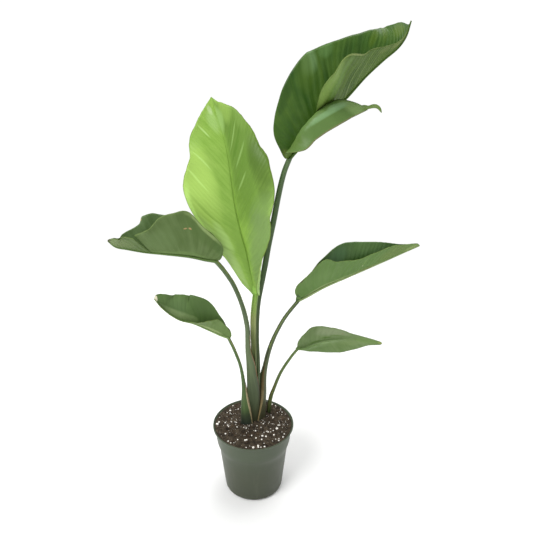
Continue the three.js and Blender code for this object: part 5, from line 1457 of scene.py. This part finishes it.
SHEATH_MARGINS = {
    "left_upper": [
        (225, 0.028, (88, 64, 46)), (270, 0.03, (132, 96, 66)), (300, 0.03, (168, 130, 104)),
        (322, 0.028, (140, 108, 76)), (340, 0.028, (150, 118, 80)), (352, 0.036, (192, 172, 132)),
        # 360 to 378: painted shadow, dark in the gap between the sheath's margin and the stalks that it
        #             wraps.
        (360, 0.024, (56, 60, 38)), (378, 0.024, (70, 76, 44)), (388, 0.024, (172, 182, 92)),
    ],
    "right_upper": [
        (160, 0.018, (150, 134, 100)), (214, 0.02, (124, 114, 86)), (226, 0.034, (104, 92, 66)),
        (284, 0.034, (98, 86, 62)), (291, 0.035, (44, 34, 24)), (308, 0.03, (50, 38, 26)),
        (313, 0.025, (150, 170, 90)), (328, 0.02, (150, 170, 92)),
    ],
    "left_lower": [
        (150, 0.022, (176, 162, 126)), (240, 0.022, (190, 176, 140)), (246, 0.024, (86, 62, 42)),
        (252, 0.024, (86, 62, 42)), (258, 0.024, (176, 158, 100)), (275, 0.024, (182, 168, 106)),
    ],
    "right_lower": [
        (150, 0.014, (110, 112, 70)), (176, 0.014, (156, 156, 92)), (204, 0.02, (160, 146, 80)),
        (221, 0.02, (140, 122, 66)), (224, 0.004, (112, 134, 80)),
    ],
}


def make_leaf(blade, seed):
    name = blade["name"]
    spine = Spine(blade["midrib"], blade["facing"])
    faces = [
        leaf_finish("leaf_upper_" + name, UPPER[name], seed, UPPER_DULLNESS),
        leaf_finish("leaf_under_" + name, UNDER[name], seed + 0.5, UNDER_DULLNESS),
        husk_finish("leaf_margin_" + name, LEAF_EDGES[name], seed),
    ]
    slot = "young_leaf" if name == "new" else "leaf"
    bm = bmesh.new()
    for half in blade["halves"]:
        lay_half(bm, spine, half)
        if "curl" in half:
            lay_curl(bm, half["curl"], LOBE_CHART + half["span"][1] * spine.length / 100)
    leaf = piece_from(bm, "leaf_" + name, faces, slot, "blade_" + name)
    shell = leaf.modifiers.new("thickness", "SOLIDIFY")
    shell.thickness = BLADE_THICKNESS * MM
    shell.offset = 0
    shell.material_offset = 1
    shell.material_offset_rim = 2
    shell.use_even_offset = False
    bm = bmesh.new()
    lay_midrib(bm, blade, spine)
    pale, deep = [seen(*tint) for tint in MIDRIBS[name]]
    # A darker keel, where one is given, is painted shade on the midrib's underside; the others keep the
    # deep colour.
    keel = seen(*SHADED_KEELS[name]) if name in SHADED_KEELS else deep
    rib = rib_finish("midrib_" + name, pale, deep, keel, seed)
    piece_from(bm, "midrib_" + name, [rib], slot, "blade_" + name)


def make_stalk(stalk, seed):
    name = stalk["name"]
    finish = stalk_finish("stalk_" + name, STALK_TINTS[name], seed, SHEATH_MARGINS.get(name))
    bm = bmesh.new()
    lay_stalk(bm, stalk, Spine(stalk["path"], stalk["facing"]))
    piece_from(bm, "stalk_" + name, [finish], "leaf_stalk", "petiole_" + name)


make_pot()
make_soil()
make_grains()
for number, stalk in enumerate(STALKS):
    make_stalk(stalk, STALK_LANE * number)
for number, blade in enumerate(BLADES):
    make_leaf(blade, LEAF_LANE * number)

# ----------------------------------------------------------------------------- floor, light, camera


def make_floor():
    """A round sheet of white paper under the pot."""
    bm = bmesh.new()
    bmesh.ops.create_circle(bm, cap_ends=True, segments=96, radius=FLOOR_RADIUS)
    object_from(bm, "studio_floor", [floor_finish()])


def add_panel(name, spot, aim, size, power):
    """A soft square light."""
    light = bpy.data.lights.new(name, "AREA")
    light.shape = "SQUARE"
    light.size = size
    light.energy = power
    panel = bpy.data.objects.new(name, light)
    panel.location = spot
    panel.rotation_euler = (Vector(aim) - Vector(spot)).to_track_quat("-Z", "Y").to_euler()
    bpy.context.scene.collection.objects.link(panel)


def make_sky():
    """White walls up to the height that the photo shows, and a dimmer ceiling."""
    world = bpy.data.worlds.new("studio")
    world.use_nodes = True
    tree = world.node_tree
    background = tree.nodes["Background"]
    background.inputs["Color"].default_value = (1, 1, 1, 1)
    way = tree.nodes.new("ShaderNodeTexCoord")
    parts = tree.nodes.new("ShaderNodeSeparateXYZ")
    fall = tree.nodes.new("ShaderNodeMapRange")
    fall.interpolation_type = "SMOOTHSTEP"
    for socket, value in zip(("From Min", "From Max", "To Min", "To Max"), SKY):
        fall.inputs[socket].default_value = value
    tree.links.new(way.outputs["Generated"], parts.inputs[0])
    tree.links.new(parts.outputs[2], fall.inputs["Value"])
    tree.links.new(fall.outputs["Result"], background.inputs["Strength"])
    bpy.context.scene.world = world


make_floor()
for light in LIGHTS:
    add_panel(*light)
make_sky()

scene = bpy.context.scene
scene.view_settings.view_transform = "Standard"

camera_data = bpy.data.cameras.new("photo_camera")
camera_data.lens = CAMERA_LENS
camera_data.sensor_width = CAMERA_SENSOR
camera_data.clip_end = 100
camera = bpy.data.objects.new("photo_camera", camera_data)
camera.location = CAMERA_SPOT
camera.rotation_euler = (CAMERA_TILT, 0, 0)
scene.collection.objects.link(camera)
scene.camera = camera
